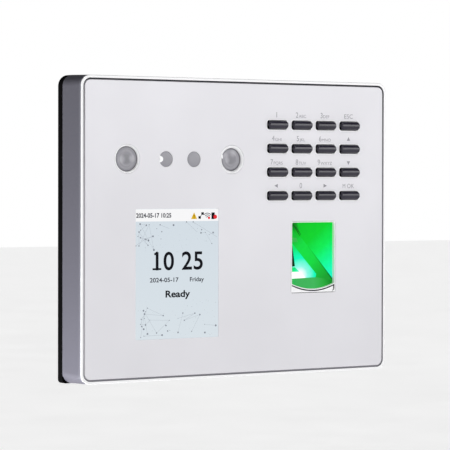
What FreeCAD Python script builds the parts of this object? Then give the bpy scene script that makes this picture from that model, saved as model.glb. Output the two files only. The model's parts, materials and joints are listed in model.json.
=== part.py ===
import FreeCAD, Part
import math
import os
import re
import Sketcher

# A wall-mounted fingerprint terminal: a shallow box with a printed front panel that carries
# a display, four round optical windows, a sixteen-key keypad and a fingerprint window.
# The frame: +Z is up, +X runs to the right as a user faces the terminal, and the user stands
# on the -Y side. The origin is on the wall plane, behind the middle of the panel.
# "Level" is a distance off the wall, so a face at level L lies at y = -L.

# ---------------------------------------------------------------- driving dimensions (mm)

SIZES = {
    # The case.
    "front_level": 20.1,
    "seam_level": 4.5,
    "panel_width": 160.7,
    "panel_height": 130.9,
    "panel_corner": 2.9,
    "panel_thick": 1.6,
    "panel_fillet": 0.35,
    "panel_gap": 0.8,
    "adhesive_thick": 0.2,
    "adhesive_margin": 0.6,
    "rim_width": 1.15,
    "rim_corner": 4.4,
    "rim_fillet": 0.45,
    "side_flare": 0.5,
    "housing_wall": 2.2,
    "deck_thick": 1.8,
    "deck_play": 0.3,
    # The rear cover and its recess for the wall bracket.
    "cover_wall": 2.0,
    "cover_floor": 1.5,
    "cover_low_corner": 1.6,
    "cover_fillet": 0.5,
    "recess_width": 117.4,
    "recess_height": 105.4,
    "recess_corner": 5.6,
    "recess_depth": 3.4,
    "recess_v": -10.0,
    "cable_bay_width": 64.0,
    "cable_bay_height": 17.0,
    "cable_bay_u": -16.0,
    "cable_bay_v": -14.0,
    # The wall bracket.
    "bracket_width": 116.0,
    "bracket_height": 104.0,
    "bracket_corner": 5.0,
    "bracket_thick": 1.2,
    "bracket_window_width": 70.0,
    "bracket_window_height": 24.0,
    "wall_hole_radius": 2.2,
    "wall_hole_pitch_u": 84.0,
    "wall_hole_pitch_v": 60.0,
    "hook_u": 34.0,
    "hook_v": 34.6,
    "hook_width": 10.0,
    "hook_top_level": 6.2,
    "hook_lip": 2.8,
    "hook_slot_height": 4.6,
    "flange_width": 12.0,
    "flange_level": 3.3,
    "lock_screw_level": 1.75,
    "lock_screw_radius": 1.2,
    "lock_screw_length": 7.0,
    "lock_screw_sink": 0.8,
    # The keypad: rows and columns of bar-shaped keys.
    "key_left": 20.5,
    "key_top": 47.0,
    "key_pitch_u": 13.5,
    "key_pitch_v": 10.8,
    "key_length": 10.8,
    "key_width": 3.95,
    "key_proud": 1.7,
    "key_end_bow": 1.0,
    "key_play": 0.2,
    "key_slot_corner": 1.2,
    "key_flange": 0.9,
    "key_flange_top": 18.2,
    "key_flange_thick": 0.8,
    "key_stem_radius": 1.7,
    "key_stem_length": 0.8,
    "membrane_thick": 0.9,
    "dome_radius": 2.4,
    "dome_height": 0.3,
    "key_switch_radius": 2.5,
    "key_switch_thick": 0.3,
    # The display.
    "screen_width": 43.2,
    "screen_height": 57.6,
    "screen_u": -33.0,
    "screen_v": -20.0,
    "screen_play": 0.1,
    "screen_sink": 0.15,
    "cell_level": 16.6,
    "cell_thick": 1.4,
    "frame_wall": 0.4,
    "module_width": 50.0,
    "module_height": 69.2,
    "module_v": -22.0,
    "module_level": 14.4,
    # The fingerprint window and its sensor.
    "finger_width": 25.0,
    "finger_height": 33.1,
    "finger_corner": 0.8,
    "finger_u": 40.8,
    "finger_v": -13.75,
    "bezel_side": 0.5,
    "bezel_lip": 4.2,
    "bezel_bow": 2.5,
    "bezel_level": 18.5,
    "prism_top": 19.0,
    "prism_bottom": 12.2,
    "prism_play": 0.25,
    "prism_slope": 4.2,
    "collar_wall": 1.0,
    "collar_play": 0.2,
    "collar_sink": 0.1,
    "sensor_floor_level": 10.2,
    "sensor_ear_thick": 1.4,
    "sensor_lamp_size": 1.6,
    "sensor_lamp_thick": 0.9,
    # The optical windows, in one row across the top left.
    "window_v": 31.0,
    "left_window_u": -59.1,
    "right_window_u": -4.2,
    "ring_radius": 6.4,
    "ring_width": 0.95,
    "ring_play": 0.1,
    "pane_sink": 0.7,
    "pane_thick": 0.8,
    "left_infrared_u": -39.1,
    "right_infrared_u": -24.5,
    "infrared_radius": 3.4,
    "camera_radius": 4.4,
    "camera_length": 4.6,
    "camera_nose_radius": 3.2,
    "camera_nose_length": 5.6,
    "led_radius": 2.5,
    "led_base_length": 3.4,
    # Boards, posts and fasteners.
    "board_thick": 1.6,
    "post_radius": 3.4,
    "small_post_radius": 1.9,
    "screw_radius": 1.2,
    "screw_head_radius": 2.2,
    "screw_head_thick": 1.4,
    "screw_play": 0.15,
    "screw_cross_length": 2.4,
    "screw_cross_width": 0.5,
    "screw_cross_depth": 0.5,
    "pilot_play": 0.05,
    "cover_post_u": 74.5,
    "cover_post_v": 59.5,
    "cover_screw_length": 9.0,
    "keypad_post_u": 29.9,
    "keypad_post_v": 23.6,
    "camera_post_u": 36.5,
    "camera_post_v": 9.0,
    "sensor_post_u": 16.0,
    "sensor_post_v": 10.0,
    # Openings in the bottom wall.
    "usb_play": 0.25,
    "usb_wall": 0.35,
    "usb_tongue_width": 11.1,
    "usb_tongue_level": 10.95,
    "usb_tongue_thick": 1.8,
    "speaker_slot_width": 1.2,
    "speaker_slot_pitch": 2.8,
    "reset_hole_radius": 0.9,
    # The reset button and the tamper plunger.
    "reset_button_radius": 1.0,
    "reset_button_length": 2.6,
    "reset_button_proud": 1.0,
    "tamper_u": 37.0,
    "tamper_v": 24.0,
    "tamper_radius": 2.0,
    "tamper_flange_radius": 3.0,
    "tamper_flange_thick": 0.5,
    "tamper_sink": 0.05,
    "tamper_window_radius": 4.0,
    "running_play": 0.08,
    # Round parts on the main board.
    "capacitor_radius": 2.5,
    "capacitor_height": 5.4,
    "clock_battery_radius": 10.0,
    "clock_battery_thick": 3.2,
    "buzzer_u": -10.0,
    "buzzer_v": 2.0,
    "buzzer_radius": 4.5,
    "buzzer_height": 4.2,
}

# Box-shaped pieces: middle (u, v), level of the side nearer the wall, width, height, depth.
BLOCKS = {
    "main_board": (-20.0, -23.0, 6.4, 84.0, 70.0, 1.6),
    "keypad_board": (40.75, 31.0, 12.2, 63.0, 50.6, 1.6),
    "camera_board": (-31.8, 31.0, 10.4, 78.0, 22.0, 1.6),
    "sensor_board": (40.8, -13.75, 7.2, 30.0, 34.0, 1.2),
    "backlight": (-33.0, -22.0, 14.85, 49.0, 68.2, 1.7),
    "speaker": (54.0, -61.9, 5.2, 30.0, 5.0, 11.0),
    "card_antenna": (-64.8, -20.0, 15.2, 11.6, 62.0, 1.0),
    "usb_shell": (0.0, -59.2, 8.05, 13.1, 14.0, 5.7),
    "battery_holder": (6.0, -36.0, 8.0, 23.0, 23.0, 1.6),
    "lock_relay": (9.0, -6.0, 8.0, 15.6, 12.0, 4.0),
    "tamper_switch": (37.0, 24.0, 7.6, 6.0, 6.0, 4.6),
    "reset_switch": (12.5, -59.5, 8.0, 6.2, 6.0, 3.6),
    "processor": (-30.0, -20.0, 8.0, 15.0, 15.0, 1.2),
    "memory": (-46.0, -20.0, 8.0, 9.0, 11.0, 1.0),
    "flash": (-46.0, -36.0, 8.0, 12.0, 8.0, 1.0),
    "network_chip": (-30.0, -42.0, 8.0, 8.0, 8.0, 1.0),
    "bus_chip": (-12.0, -14.0, 8.0, 6.0, 5.0, 1.4),
    "power_chip": (-54.0, -2.0, 8.0, 6.0, 5.0, 1.4),
    "lcd_ribbon": (-33.0, 6.0, 8.4, 20.0, 0.3, 6.0),
    "sensor_camera": (40.8, -24.0, 8.4, 6.0, 6.0, 3.0),
}

# Wiring headers on the back of the main board: middle u and length along the board's row.
HEADERS = [(-40.0, 12.0), (-25.0, 12.0), (-10.0, 12.0), (4.0, 10.0)]
HEADER_HEIGHT = 5.6
HEADER_DEPTH = 4.4
HEADER_WALL = 0.7

# The capacitors' middles on the main board.
CAPACITORS = [("-55", "-48"), ("-48", "-48"), ("-12", "-30"), ("-12", "-24")]

KEY_NAMES = [
    ["one", "two", "three", "escape"],
    ["four", "five", "six", "up"],
    ["seven", "eight", "nine", "down"],
    ["left", "zero", "right", "enter"],
]

LEVEL_PLANE = "XZ_Plane"
FLOOR_PLANE = "XY_Plane"
SIDE_PLANE = "YZ_Plane"

doc = FreeCAD.newDocument("FingerprintTerminal")
sheet = doc.addObject("Spreadsheet::Sheet", "Sizes")
nodes = []


def fill_sheet():
    """Put every driving dimension in the sheet, one aliased cell each."""
    for name, numbers in BLOCKS.items():
        for suffix, number in zip(("u", "v", "level", "width", "height", "depth"), numbers):
            SIZES[name + "_" + suffix] = number
    for row, (name, number) in enumerate(SIZES.items(), start=1):
        sheet.set("A%d" % row, name)
        sheet.set("B%d" % row, str(number))
        sheet.setAlias("B%d" % row, name)
    doc.recompute()


# ---------------------------------------------------------------- helpers

def formula(text):
    """Turn plain cell names into references to the sheet."""
    def reference(match):
        word = match.group()
        return "Sizes." + word if word in SIZES else word
    return re.sub(r"[a-z][a-z_0-9]*", reference, str(text))


def number(text):
    """The present value of a formula."""
    return float(sheet.evalExpression(formula(text)))


def keep(piece, label):
    """Name a finished sub-part and list it for export."""
    piece.Label = label
    nodes.append(piece)
    return piece


def new_body(label):
    return keep(doc.addObject("PartDesign::Body", label), label)


def new_sketch(body, name, plane=LEVEL_PLANE, offset="0"):
    """A sketch parallel to one of the body's own planes. On the level plane the offset is
    a level off the wall, and the sketch's x and y are u and v."""
    sketch = body.newObject("Sketcher::SketchObject", name)
    support = [item for item in body.Origin.OriginFeatures if item.Role == plane][0]
    sketch.AttachmentSupport = [(support, "")]
    sketch.MapMode = "FlatFace"
    sketch.setExpression("AttachmentOffset.Base.z", formula(offset))
    return sketch


def fix(sketch, kind, *args):
    """Add a constraint whose last argument is a formula."""
    value = formula(args[-1])
    index = sketch.addConstraint(Sketcher.Constraint(kind, *args[:-1], number(args[-1])))
    sketch.setExpression("Constraints[%d]" % index, value)


def place(sketch, geometry, point, u, v):
    """Fix one point of a sketch at (u, v) from the sketch's origin."""
    fix(sketch, "DistanceX", -1, 1, geometry, point, u)
    fix(sketch, "DistanceY", -1, 1, geometry, point, v)


def circle(sketch, radius, u="0", v="0"):
    centre = FreeCAD.Vector(number(u), number(v), 0)
    index = sketch.addGeometry(Part.Circle(centre, FreeCAD.Vector(0, 0, 1), number(radius)))
    fix(sketch, "Radius", index, radius)
    place(sketch, index, 3, u, v)


def rectangle(sketch, width, height, u="0", v="0"):
    """A rectangle centred on (u, v)."""
    half_w = number(width) / 2
    half_h = number(height) / 2
    centre = FreeCAD.Vector(number(u), number(v), 0)
    signs = ((-1, -1), (1, -1), (1, 1), (-1, 1))
    corners = [centre + FreeCAD.Vector(a * half_w, b * half_h, 0) for a, b in signs]
    first = sketch.GeometryCount
    for start in range(4):
        sketch.addGeometry(Part.LineSegment(corners[start], corners[(start + 1) % 4]))
    for side in range(4):
        following = first + (side + 1) % 4
        sketch.addConstraint(Sketcher.Constraint("Coincident", first + side, 2, following, 1))
        direction = "Horizontal" if side % 2 == 0 else "Vertical"
        sketch.addConstraint(Sketcher.Constraint(direction, first + side))
    fix(sketch, "DistanceX", first, 1, first, 2, width)
    fix(sketch, "DistanceY", first + 1, 1, first + 1, 2, height)
    place(sketch, first, 1, "%s - (%s) / 2" % (u, width), "%s - (%s) / 2" % (v, height))


def rounded(sketch, width, height, radius, u="0", v="0", low_radius=None):
    """A rectangle centred on (u, v) with round corners. The two low corners can have a
    radius of their own."""
    half_w = number(width) / 2
    half_h = number(height) / 2
    top = number(radius)
    low = number(low_radius or radius)
    centre = FreeCAD.Vector(number(u), number(v), 0)
    axis = FreeCAD.Vector(0, 0, 1)
    corners = ((-1, -1, low, math.pi), (1, -1, low, 1.5 * math.pi), (1, 1, top, 0),
               (-1, 1, top, 0.5 * math.pi))
    arcs = []
    for side_u, side_v, bend, start in corners:
        middle = centre + FreeCAD.Vector(side_u * (half_w - bend), side_v * (half_h - bend), 0)
        arc = Part.ArcOfCircle(Part.Circle(middle, axis, bend), start, start + math.pi / 2)
        arcs.append(arc)
    first = sketch.GeometryCount
    for arc in arcs:
        sketch.addGeometry(arc)
    for side in range(4):
        sketch.addGeometry(Part.LineSegment(arcs[side].EndPoint, arcs[(side + 1) % 4].StartPoint))
    for side in range(4):
        line = first + 4 + side
        following = first + (side + 1) % 4
        sketch.addConstraint(Sketcher.Constraint("Tangent", first + side, 2, line, 1))
        sketch.addConstraint(Sketcher.Constraint("Tangent", line, 2, following, 1))
        direction = "Horizontal" if side % 2 == 0 else "Vertical"
        sketch.addConstraint(Sketcher.Constraint(direction, line))
    sketch.addConstraint(Sketcher.Constraint("Equal", first, first + 1))
    sketch.addConstraint(Sketcher.Constraint("Equal", first + 2, first + 3))
    fix(sketch, "Radius", first, low_radius or radius)
    fix(sketch, "Radius", first + 2, radius)
    fix(sketch, "DistanceX", first, 1, first + 1, 2, width)
    fix(sketch, "DistanceY", first + 1, 1, first + 2, 2, height)
    place(sketch, first, 1, "%s - (%s) / 2" % (u, width),
          "%s - (%s) / 2 + (%s)" % (v, height, low_radius or radius))


def extrude(body, sketch, kind, length, toward_wall):
    """Pad or pocket a sketch by a length, towards the wall or towards the user."""
    solid_before = body.Tip
    feature = body.newObject("PartDesign::" + kind, sketch.Name + "_" + kind.lower())
    feature.Profile = sketch
    feature.setExpression("Length", formula(length))
    sketch.Visibility = False
    # A pad runs along the sketch's normal, towards the user, and a pocket against it.
    feature.Reversed = toward_wall if kind == "Pad" else not toward_wall
    doc.recompute()
    change = feature.Shape.Volume - (solid_before.Shape.Volume if solid_before else 0.0)
    if abs(change) < 0.001 or (kind == "Pad") != (change > 0):
        raise RuntimeError("%s: %s changes nothing" % (body.Label, feature.Name))
    return feature


def pad(body, sketch, length, toward_wall=False):
    return extrude(body, sketch, "Pad", length, toward_wall)


def pocket(body, sketch, length, toward_wall=True):
    return extrude(body, sketch, "Pocket", length, toward_wall)


def fillet(body, feature, radius, chosen):
    """Round the edges of a feature that chosen(edge) picks."""
    names = [
        "Edge%d" % index
        for index, edge in enumerate(feature.Shape.Edges, start=1)
        if chosen(edge)
    ]
    rounding = body.newObject("PartDesign::Fillet", feature.Name + "_fillet")
    rounding.Base = (feature, names)
    rounding.setExpression("Radius", formula(radius))
    doc.recompute()
    return rounding


def at_front(edge):
    """Whether an edge lies in the plane of the front panel's face."""
    front = -number("front_level")
    return all(abs(point.Point.y - front) < 0.01 for point in edge.Vertexes)


def at_wall(edge):
    """Whether an edge lies in the wall plane."""
    return all(abs(point.Point.y) < 0.01 for point in edge.Vertexes)


def block(name, u=None, v=None, level=None, width=None, height=None, depth=None):
    """A box: middle (u, v), near level, width, height and depth. What isn't given comes
    from the cells of the block's own name."""
    cell = {
        "u": u or name + "_u",
        "v": v or name + "_v",
        "level": level or name + "_level",
        "width": width or name + "_width",
        "height": height or name + "_height",
        "depth": depth or name + "_depth",
    }
    box = doc.addObject("Part::Box", name)
    box.setExpression("Length", formula(cell["width"]))
    box.setExpression("Width", formula(cell["depth"]))
    box.setExpression("Height", formula(cell["height"]))
    box.setExpression("Placement.Base.x", formula("%(u)s - (%(width)s) / 2" % cell))
    box.setExpression("Placement.Base.y", formula("-(%(level)s) - (%(depth)s)" % cell))
    box.setExpression("Placement.Base.z", formula("%(v)s - (%(height)s) / 2" % cell))
    return box


def disc(name, radius, u, v, level, depth):
    """A cylinder that stands off the wall from a level, by a depth, centred on (u, v)."""
    rod = doc.addObject("Part::Cylinder", name)
    rod.setExpression("Radius", formula(radius))
    rod.setExpression("Height", formula(depth))
    rod.Placement.Rotation = FreeCAD.Rotation(FreeCAD.Vector(1, 0, 0), 90)
    rod.setExpression("Placement.Base.x", formula(u))
    rod.setExpression("Placement.Base.y", formula("-(%s)" % level))
    rod.setExpression("Placement.Base.z", formula(v))
    return rod


def upright(name, radius, u, level, bottom, length):
    """A cylinder along Z from a height, by a length."""
    rod = doc.addObject("Part::Cylinder", name)
    rod.setExpression("Radius", formula(radius))
    rod.setExpression("Height", formula(length))
    rod.setExpression("Placement.Base.x", formula(u))
    rod.setExpression("Placement.Base.y", formula("-(%s)" % level))
    rod.setExpression("Placement.Base.z", formula(bottom))
    return rod


def fuse(name, pieces):
    whole = doc.addObject("Part::MultiFuse", name)
    whole.Shapes = pieces
    return whole


def cut(name, base, tool):
    remainder = doc.addObject("Part::Cut", name)
    remainder.Base = base
    remainder.Tool = tool
    return remainder


def group(label, pieces):
    """Separate solids of one kind that share a node."""
    together = doc.addObject("Part::Compound", label)
    together.Links = pieces
    return keep(together, label)


def around(centre_u, centre_v, pitch_u, pitch_v):
    """The four corners of a rectangle pattern about a middle, as formulas."""
    return [
        ("%s %s %s" % (centre_u, a, pitch_u), "%s %s %s" % (centre_v, b, pitch_v))
        for a in "-+"
        for b in "-+"
    ]


def drilled_board(label, spots):
    """A circuit board with a clearance hole at each of its screws."""
    drills = [
        disc("%s_drill_%d" % (label, index), "screw_radius + screw_play", spot_u, spot_v,
             label + "_level - 1", "board_thick + 2")
        for index, (spot_u, spot_v) in enumerate(spots)
    ]
    keep(cut(label, block(label + "_blank", *board_cells(label)), fuse(label + "_drills", drills)),
         label)


def board_cells(label):
    """The cells that hold a block's middle, level and sizes."""
    return [label + "_" + suffix for suffix in ("u", "v", "level", "width", "height", "depth")]


DECK_TOP = "front_level - panel_thick - adhesive_thick"
DECK_UNDER = "front_level - panel_thick - adhesive_thick - deck_thick"
COLLAR_TOP = DECK_TOP + " - collar_sink"
FRONT_WIDTH = "panel_width + 2 * panel_gap + 2 * rim_width"
FRONT_HEIGHT = "panel_height + 2 * panel_gap + 2 * rim_width"
COVER_POSTS = around("0", "0", "cover_post_u", "cover_post_v")
COVER_POSTS += [("-cover_post_u", "0"), ("cover_post_u", "0")]


KEYPAD_POSTS = around("keypad_board_u", "keypad_board_v", "keypad_post_u", "keypad_post_v")
CAMERA_POSTS = around("camera_board_u", "camera_board_v", "camera_post_u", "camera_post_v")
SENSOR_POSTS = around("finger_u", "finger_v", "sensor_post_u", "sensor_post_v")
BOARD_POSTS = around("main_board_u", "main_board_v", "(main_board_width / 2 - 3)",
                     "(main_board_height / 2 - 3)")


def key_middle(row, column):
    return ("key_left + %d * key_pitch_u" % column, "key_top - %d * key_pitch_v" % row)


# ---------------------------------------------------------------- the case

def front_housing():
    """The silver shell: four flared walls, a thin bright rim, and a deck behind the panel."""
    body = new_body("front_housing")
    outline = new_sketch(body, "housing_outline", offset="seam_level")
    rounded(outline, FRONT_WIDTH + " + 2 * side_flare", FRONT_HEIGHT + " + 2 * side_flare",
            "rim_corner + side_flare")
    shell = pad(body, outline, "front_level - seam_level")
    shell.setExpression("TaperAngle", formula("-atan(side_flare / (front_level - seam_level))"))
    doc.recompute()
    fillet(body, shell, "rim_fillet", at_front)

    seat = new_sketch(body, "panel_seat", offset="front_level")
    rounded(seat, "panel_width + 2 * panel_gap", "panel_height + 2 * panel_gap",
            "panel_corner + panel_gap")
    pocket(body, seat, "panel_thick + adhesive_thick")

    cavity = new_sketch(body, "cavity", offset="seam_level")
    rounded(cavity, FRONT_WIDTH + " - 2 * housing_wall", FRONT_HEIGHT + " - 2 * housing_wall",
            "rim_corner - 1.5")
    pocket(body, cavity, DECK_UNDER + " - seam_level", toward_wall=False)

    openings = new_sketch(body, "deck_openings", offset=DECK_TOP)
    rectangle(openings, "module_width + 2 * deck_play", "module_height + 2 * deck_play",
              "screen_u", "module_v")
    rounded(openings, "4 * key_pitch_u + 2", "4 * key_pitch_v + 1", "1",
            "key_left + 1.5 * key_pitch_u", "key_top - 1.5 * key_pitch_v")
    rectangle(openings, "finger_width + 2 * (collar_wall + collar_play)",
              "finger_height + 2 * (collar_wall + collar_play)", "finger_u", "finger_v")
    for place_u in ("left_window_u", "right_window_u"):
        circle(openings, "ring_radius - ring_width", place_u, "window_v")
    for place_u in ("left_infrared_u", "right_infrared_u"):
        circle(openings, "led_radius + 0.4", place_u, "window_v")
    pocket(body, openings, "deck_thick")

    post_groups = (
        ("cover_posts", COVER_POSTS, "post_radius", "seam_level + 0.4"),
        ("camera_posts", CAMERA_POSTS, "small_post_radius", "camera_board_level + board_thick"),
        ("keypad_posts", KEYPAD_POSTS, "small_post_radius", "keypad_board_level + board_thick"),
    )
    for name, places, radius, end_level in post_groups:
        posts = new_sketch(body, name, offset=DECK_UNDER)
        for post_u, post_v in places:
            circle(posts, radius, post_u, post_v)
        pad(body, posts, "%s - (%s)" % (DECK_UNDER, end_level), toward_wall=True)
    for name, places, radius, end_level in post_groups:
        pilots = new_sketch(body, name + "_pilots", offset=end_level)
        for post_u, post_v in places:
            circle(pilots, "screw_radius + pilot_play", post_u, post_v)
        deep = "%s - (%s)" % (DECK_UNDER, end_level)
        if name == "cover_posts":
            deep = "cover_screw_length"
        pocket(body, pilots, deep, toward_wall=False)
    pilots = new_sketch(body, "sensor_pilots", offset=DECK_UNDER)
    for post_u, post_v in SENSOR_POSTS:
        circle(pilots, "screw_radius + pilot_play", post_u, post_v)
    pocket(body, pilots, "deck_thick - 0.2", toward_wall=False)
    bottom_wall_openings(body)


def bottom_wall_openings(body):
    """The openings that a cable or a pin enters from below, and the speaker's slots."""
    low = "-(%s) / 2 - side_flare - 1" % FRONT_HEIGHT
    openings = new_sketch(body, "bottom_openings", plane=FLOOR_PLANE, offset=low)
    rectangle(openings, "usb_shell_width + 2 * usb_play", "usb_shell_depth + 2 * usb_play",
              "usb_shell_u", "-usb_shell_level - usb_shell_depth / 2")
    circle(openings, "reset_hole_radius", "reset_switch_u",
           "-reset_switch_level - reset_switch_depth / 2")
    for slot in range(-4, 5):
        rectangle(openings, "speaker_slot_width", "speaker_depth - 3",
                  "speaker_u + %d * speaker_slot_pitch" % slot,
                  "-speaker_level - speaker_depth / 2")
    pocket(body, openings, "housing_wall + side_flare + 1.4", toward_wall=False)


def rear_cover():
    """The black rear cover: a shallow tray with a raised floor over the bracket's recess."""
    body = new_body("rear_cover")
    outline = new_sketch(body, "cover_outline")
    rounded(outline, FRONT_WIDTH + " + 2 * side_flare", FRONT_HEIGHT + " + 2 * side_flare",
            "rim_corner + side_flare", low_radius="cover_low_corner")
    tray = pad(body, outline, "seam_level")
    fillet(body, tray, "cover_fillet", at_wall)

    raised = new_sketch(body, "raised_floor", offset="seam_level")
    rounded(raised, "recess_width + 2 * cover_floor", "recess_height + 2 * cover_floor",
            "recess_corner + cover_floor", v="recess_v")
    pad(body, raised, "recess_depth + cover_floor - seam_level")

    hollow = new_sketch(body, "hollow", offset="seam_level")
    rounded(hollow, FRONT_WIDTH + " + 2 * side_flare - 2 * cover_wall",
            FRONT_HEIGHT + " + 2 * side_flare - 2 * cover_wall", "rim_corner - 1.5")
    rounded(hollow, "recess_width + 2 * cover_floor", "recess_height + 2 * cover_floor",
            "recess_corner + cover_floor", v="recess_v")
    pocket(body, hollow, "seam_level - cover_floor")

    posts = new_sketch(body, "cover_screw_posts", offset="cover_floor")
    for post_u, post_v in COVER_POSTS:
        circle(posts, "post_radius", post_u, post_v)
    pad(body, posts, "seam_level + 0.2 - cover_floor")

    recess = new_sketch(body, "bracket_recess")
    rounded(recess, "recess_width", "recess_height", "recess_corner", v="recess_v")
    pocket(body, recess, "recess_depth", toward_wall=False)

    standoffs = new_sketch(body, "board_standoffs", offset="recess_depth + cover_floor")
    for post_u, post_v in BOARD_POSTS:
        circle(standoffs, "small_post_radius + 0.6", post_u, post_v)
    pad(body, standoffs, "main_board_level - recess_depth - cover_floor")
    pilots = new_sketch(body, "standoff_pilots", offset="main_board_level")
    for post_u, post_v in BOARD_POSTS:
        circle(pilots, "screw_radius + pilot_play", post_u, post_v)
    pocket(body, pilots, "main_board_level - recess_depth - 0.3")

    floor_openings = new_sketch(body, "floor_openings", offset="recess_depth + cover_floor")
    rounded(floor_openings, "cable_bay_width", "cable_bay_height", "2", "cable_bay_u", "cable_bay_v")
    circle(floor_openings, "tamper_radius + running_play", "tamper_u", "tamper_v")
    for side in ("-", ""):
        rectangle(floor_openings, "hook_width + 2", "hook_slot_height", side + "hook_u",
                  "hook_v + bracket_thick / 2 + 0.2 - hook_slot_height / 2")
    pocket(body, floor_openings, "cover_floor")

    heads = new_sketch(body, "screw_head_sinks")
    shanks = new_sketch(body, "screw_shank_holes", offset="seam_level + 0.2")
    for post_u, post_v in COVER_POSTS:
        circle(heads, "screw_head_radius + 0.2", post_u, post_v)
        circle(shanks, "screw_radius + screw_play", post_u, post_v)
    pocket(body, heads, "screw_head_thick + 0.3", toward_wall=False)
    pocket(body, shanks, "seam_level + 0.2")

    lock = new_sketch(body, "lock_screw_hole", plane=FLOOR_PLANE,
                      offset="-(%s) / 2 - side_flare - 1" % FRONT_HEIGHT)
    circle(lock, "lock_screw_radius + 0.1", v="-lock_screw_level")
    pocket(body, lock, "9", toward_wall=False)


def front_panel():
    """The printed front panel, with an opening for each thing that shows through it."""
    body = new_body("front_panel")
    outline = new_sketch(body, "panel_outline", offset=DECK_TOP + " + adhesive_thick")
    rounded(outline, "panel_width", "panel_height", "panel_corner")
    slab = pad(body, outline, "panel_thick")
    fillet(body, slab, "panel_fillet", at_front)
    openings = new_sketch(body, "panel_openings", offset="front_level")
    panel_openings(openings)
    pocket(body, openings, "panel_thick")
    for row in range(4):
        slots = new_sketch(body, "key_slots_%d" % row, offset="front_level")
        for column in range(4):
            rounded(slots, "key_length + 2 * key_play", "key_width + 2 * key_play",
                    "key_slot_corner", *key_middle(row, column))
        pocket(body, slots, "panel_thick")


def panel_openings(sketch, extra="0"):
    """The panel's openings for the display, the fingerprint window and the round windows."""
    rounded(sketch, "screen_width + 2 * screen_play + 2 * (%s)" % extra,
            "screen_height + 2 * screen_play + 2 * (%s)" % extra, "0.5", "screen_u", "screen_v")
    rounded(sketch, "finger_width + 2 * (%s)" % extra, "finger_height + 2 * (%s)" % extra,
            "finger_corner", "finger_u", "finger_v")
    for place_u in ("left_window_u", "right_window_u"):
        circle(sketch, "ring_radius + ring_play + (%s) / 2" % extra, place_u, "window_v")
    for place_u in ("left_infrared_u", "right_infrared_u"):
        circle(sketch, "infrared_radius + ring_play + (%s) / 2" % extra, place_u, "window_v")


def panel_adhesive():
    """The thin double-sided sheet that bonds the panel to the deck."""
    body = new_body("panel_adhesive")
    outline = new_sketch(body, "adhesive_outline", offset=DECK_TOP)
    rounded(outline, "panel_width - 2 * adhesive_margin", "panel_height - 2 * adhesive_margin",
            "panel_corner")
    pad(body, outline, "adhesive_thick")
    openings = new_sketch(body, "adhesive_openings", offset=DECK_TOP + " + adhesive_thick")
    panel_openings(openings, "3.5")
    rectangle(openings, "4 * key_pitch_u", "4 * key_pitch_v",
              "key_left + 1.5 * key_pitch_u", "key_top - 1.5 * key_pitch_v")
    pocket(body, openings, "adhesive_thick")


def wall_bracket():
    """The steel wall bracket: a plate with two hooks and a flange for the lock screw."""
    body = new_body("wall_bracket")
    outline = new_sketch(body, "bracket_outline")
    rounded(outline, "bracket_width", "bracket_height", "bracket_corner", v="recess_v")
    pad(body, outline, "bracket_thick")
    openings = new_sketch(body, "bracket_openings", offset="bracket_thick")
    rounded(openings, "bracket_window_width", "bracket_window_height", "3", "cable_bay_u",
            "cable_bay_v")
    for hole_u, hole_v in around("0", "0", "wall_hole_pitch_u / 2", "wall_hole_pitch_v / 2"):
        circle(openings, "wall_hole_radius", hole_u, hole_v)
    circle(openings, "tamper_window_radius", "tamper_u", "tamper_v")
    pocket(body, openings, "bracket_thick")
    legs = new_sketch(body, "hook_legs", offset="bracket_thick")
    lips = new_sketch(body, "hook_lips", offset="hook_top_level - bracket_thick")
    for side in ("-", ""):
        rectangle(legs, "hook_width", "bracket_thick", side + "hook_u", "hook_v")
        rectangle(lips, "hook_width", "bracket_thick + hook_lip", side + "hook_u",
                  "hook_v + hook_lip / 2")
    pad(body, legs, "hook_top_level - bracket_thick")
    pad(body, lips, "bracket_thick")
    flange = new_sketch(body, "flange", offset="bracket_thick")
    rectangle(flange, "flange_width", "bracket_thick", "0",
              "recess_v - bracket_height / 2 + bracket_thick / 2")
    pad(body, flange, "flange_level - bracket_thick")
    thread = new_sketch(body, "lock_thread", plane=FLOOR_PLANE,
                        offset="recess_v - bracket_height / 2 - 1")
    circle(thread, "lock_screw_radius + pilot_play", v="-lock_screw_level")
    pocket(body, thread, "bracket_thick + 2", toward_wall=False)


def lock_screw():
    """The headless screw that locks the terminal to its bracket from below."""
    low = "-(%s) / 2 - side_flare + lock_screw_sink" % FRONT_HEIGHT
    shank = upright("lock_screw_shank", "lock_screw_radius", "0", "lock_screw_level", low,
                    "lock_screw_length")
    socket = doc.addObject("Part::Prism", "lock_screw_socket")
    socket.Polygon = 6
    socket.setExpression("Circumradius", formula("lock_screw_radius / 2"))
    socket.setExpression("Height", formula("lock_screw_radius"))
    socket.setExpression("Placement.Base.y", formula("-lock_screw_level"))
    socket.setExpression("Placement.Base.z", formula(low))
    keep(cut("lock_screw", shank, socket), "lock_screw")


# ---------------------------------------------------------------- the keypad

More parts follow.
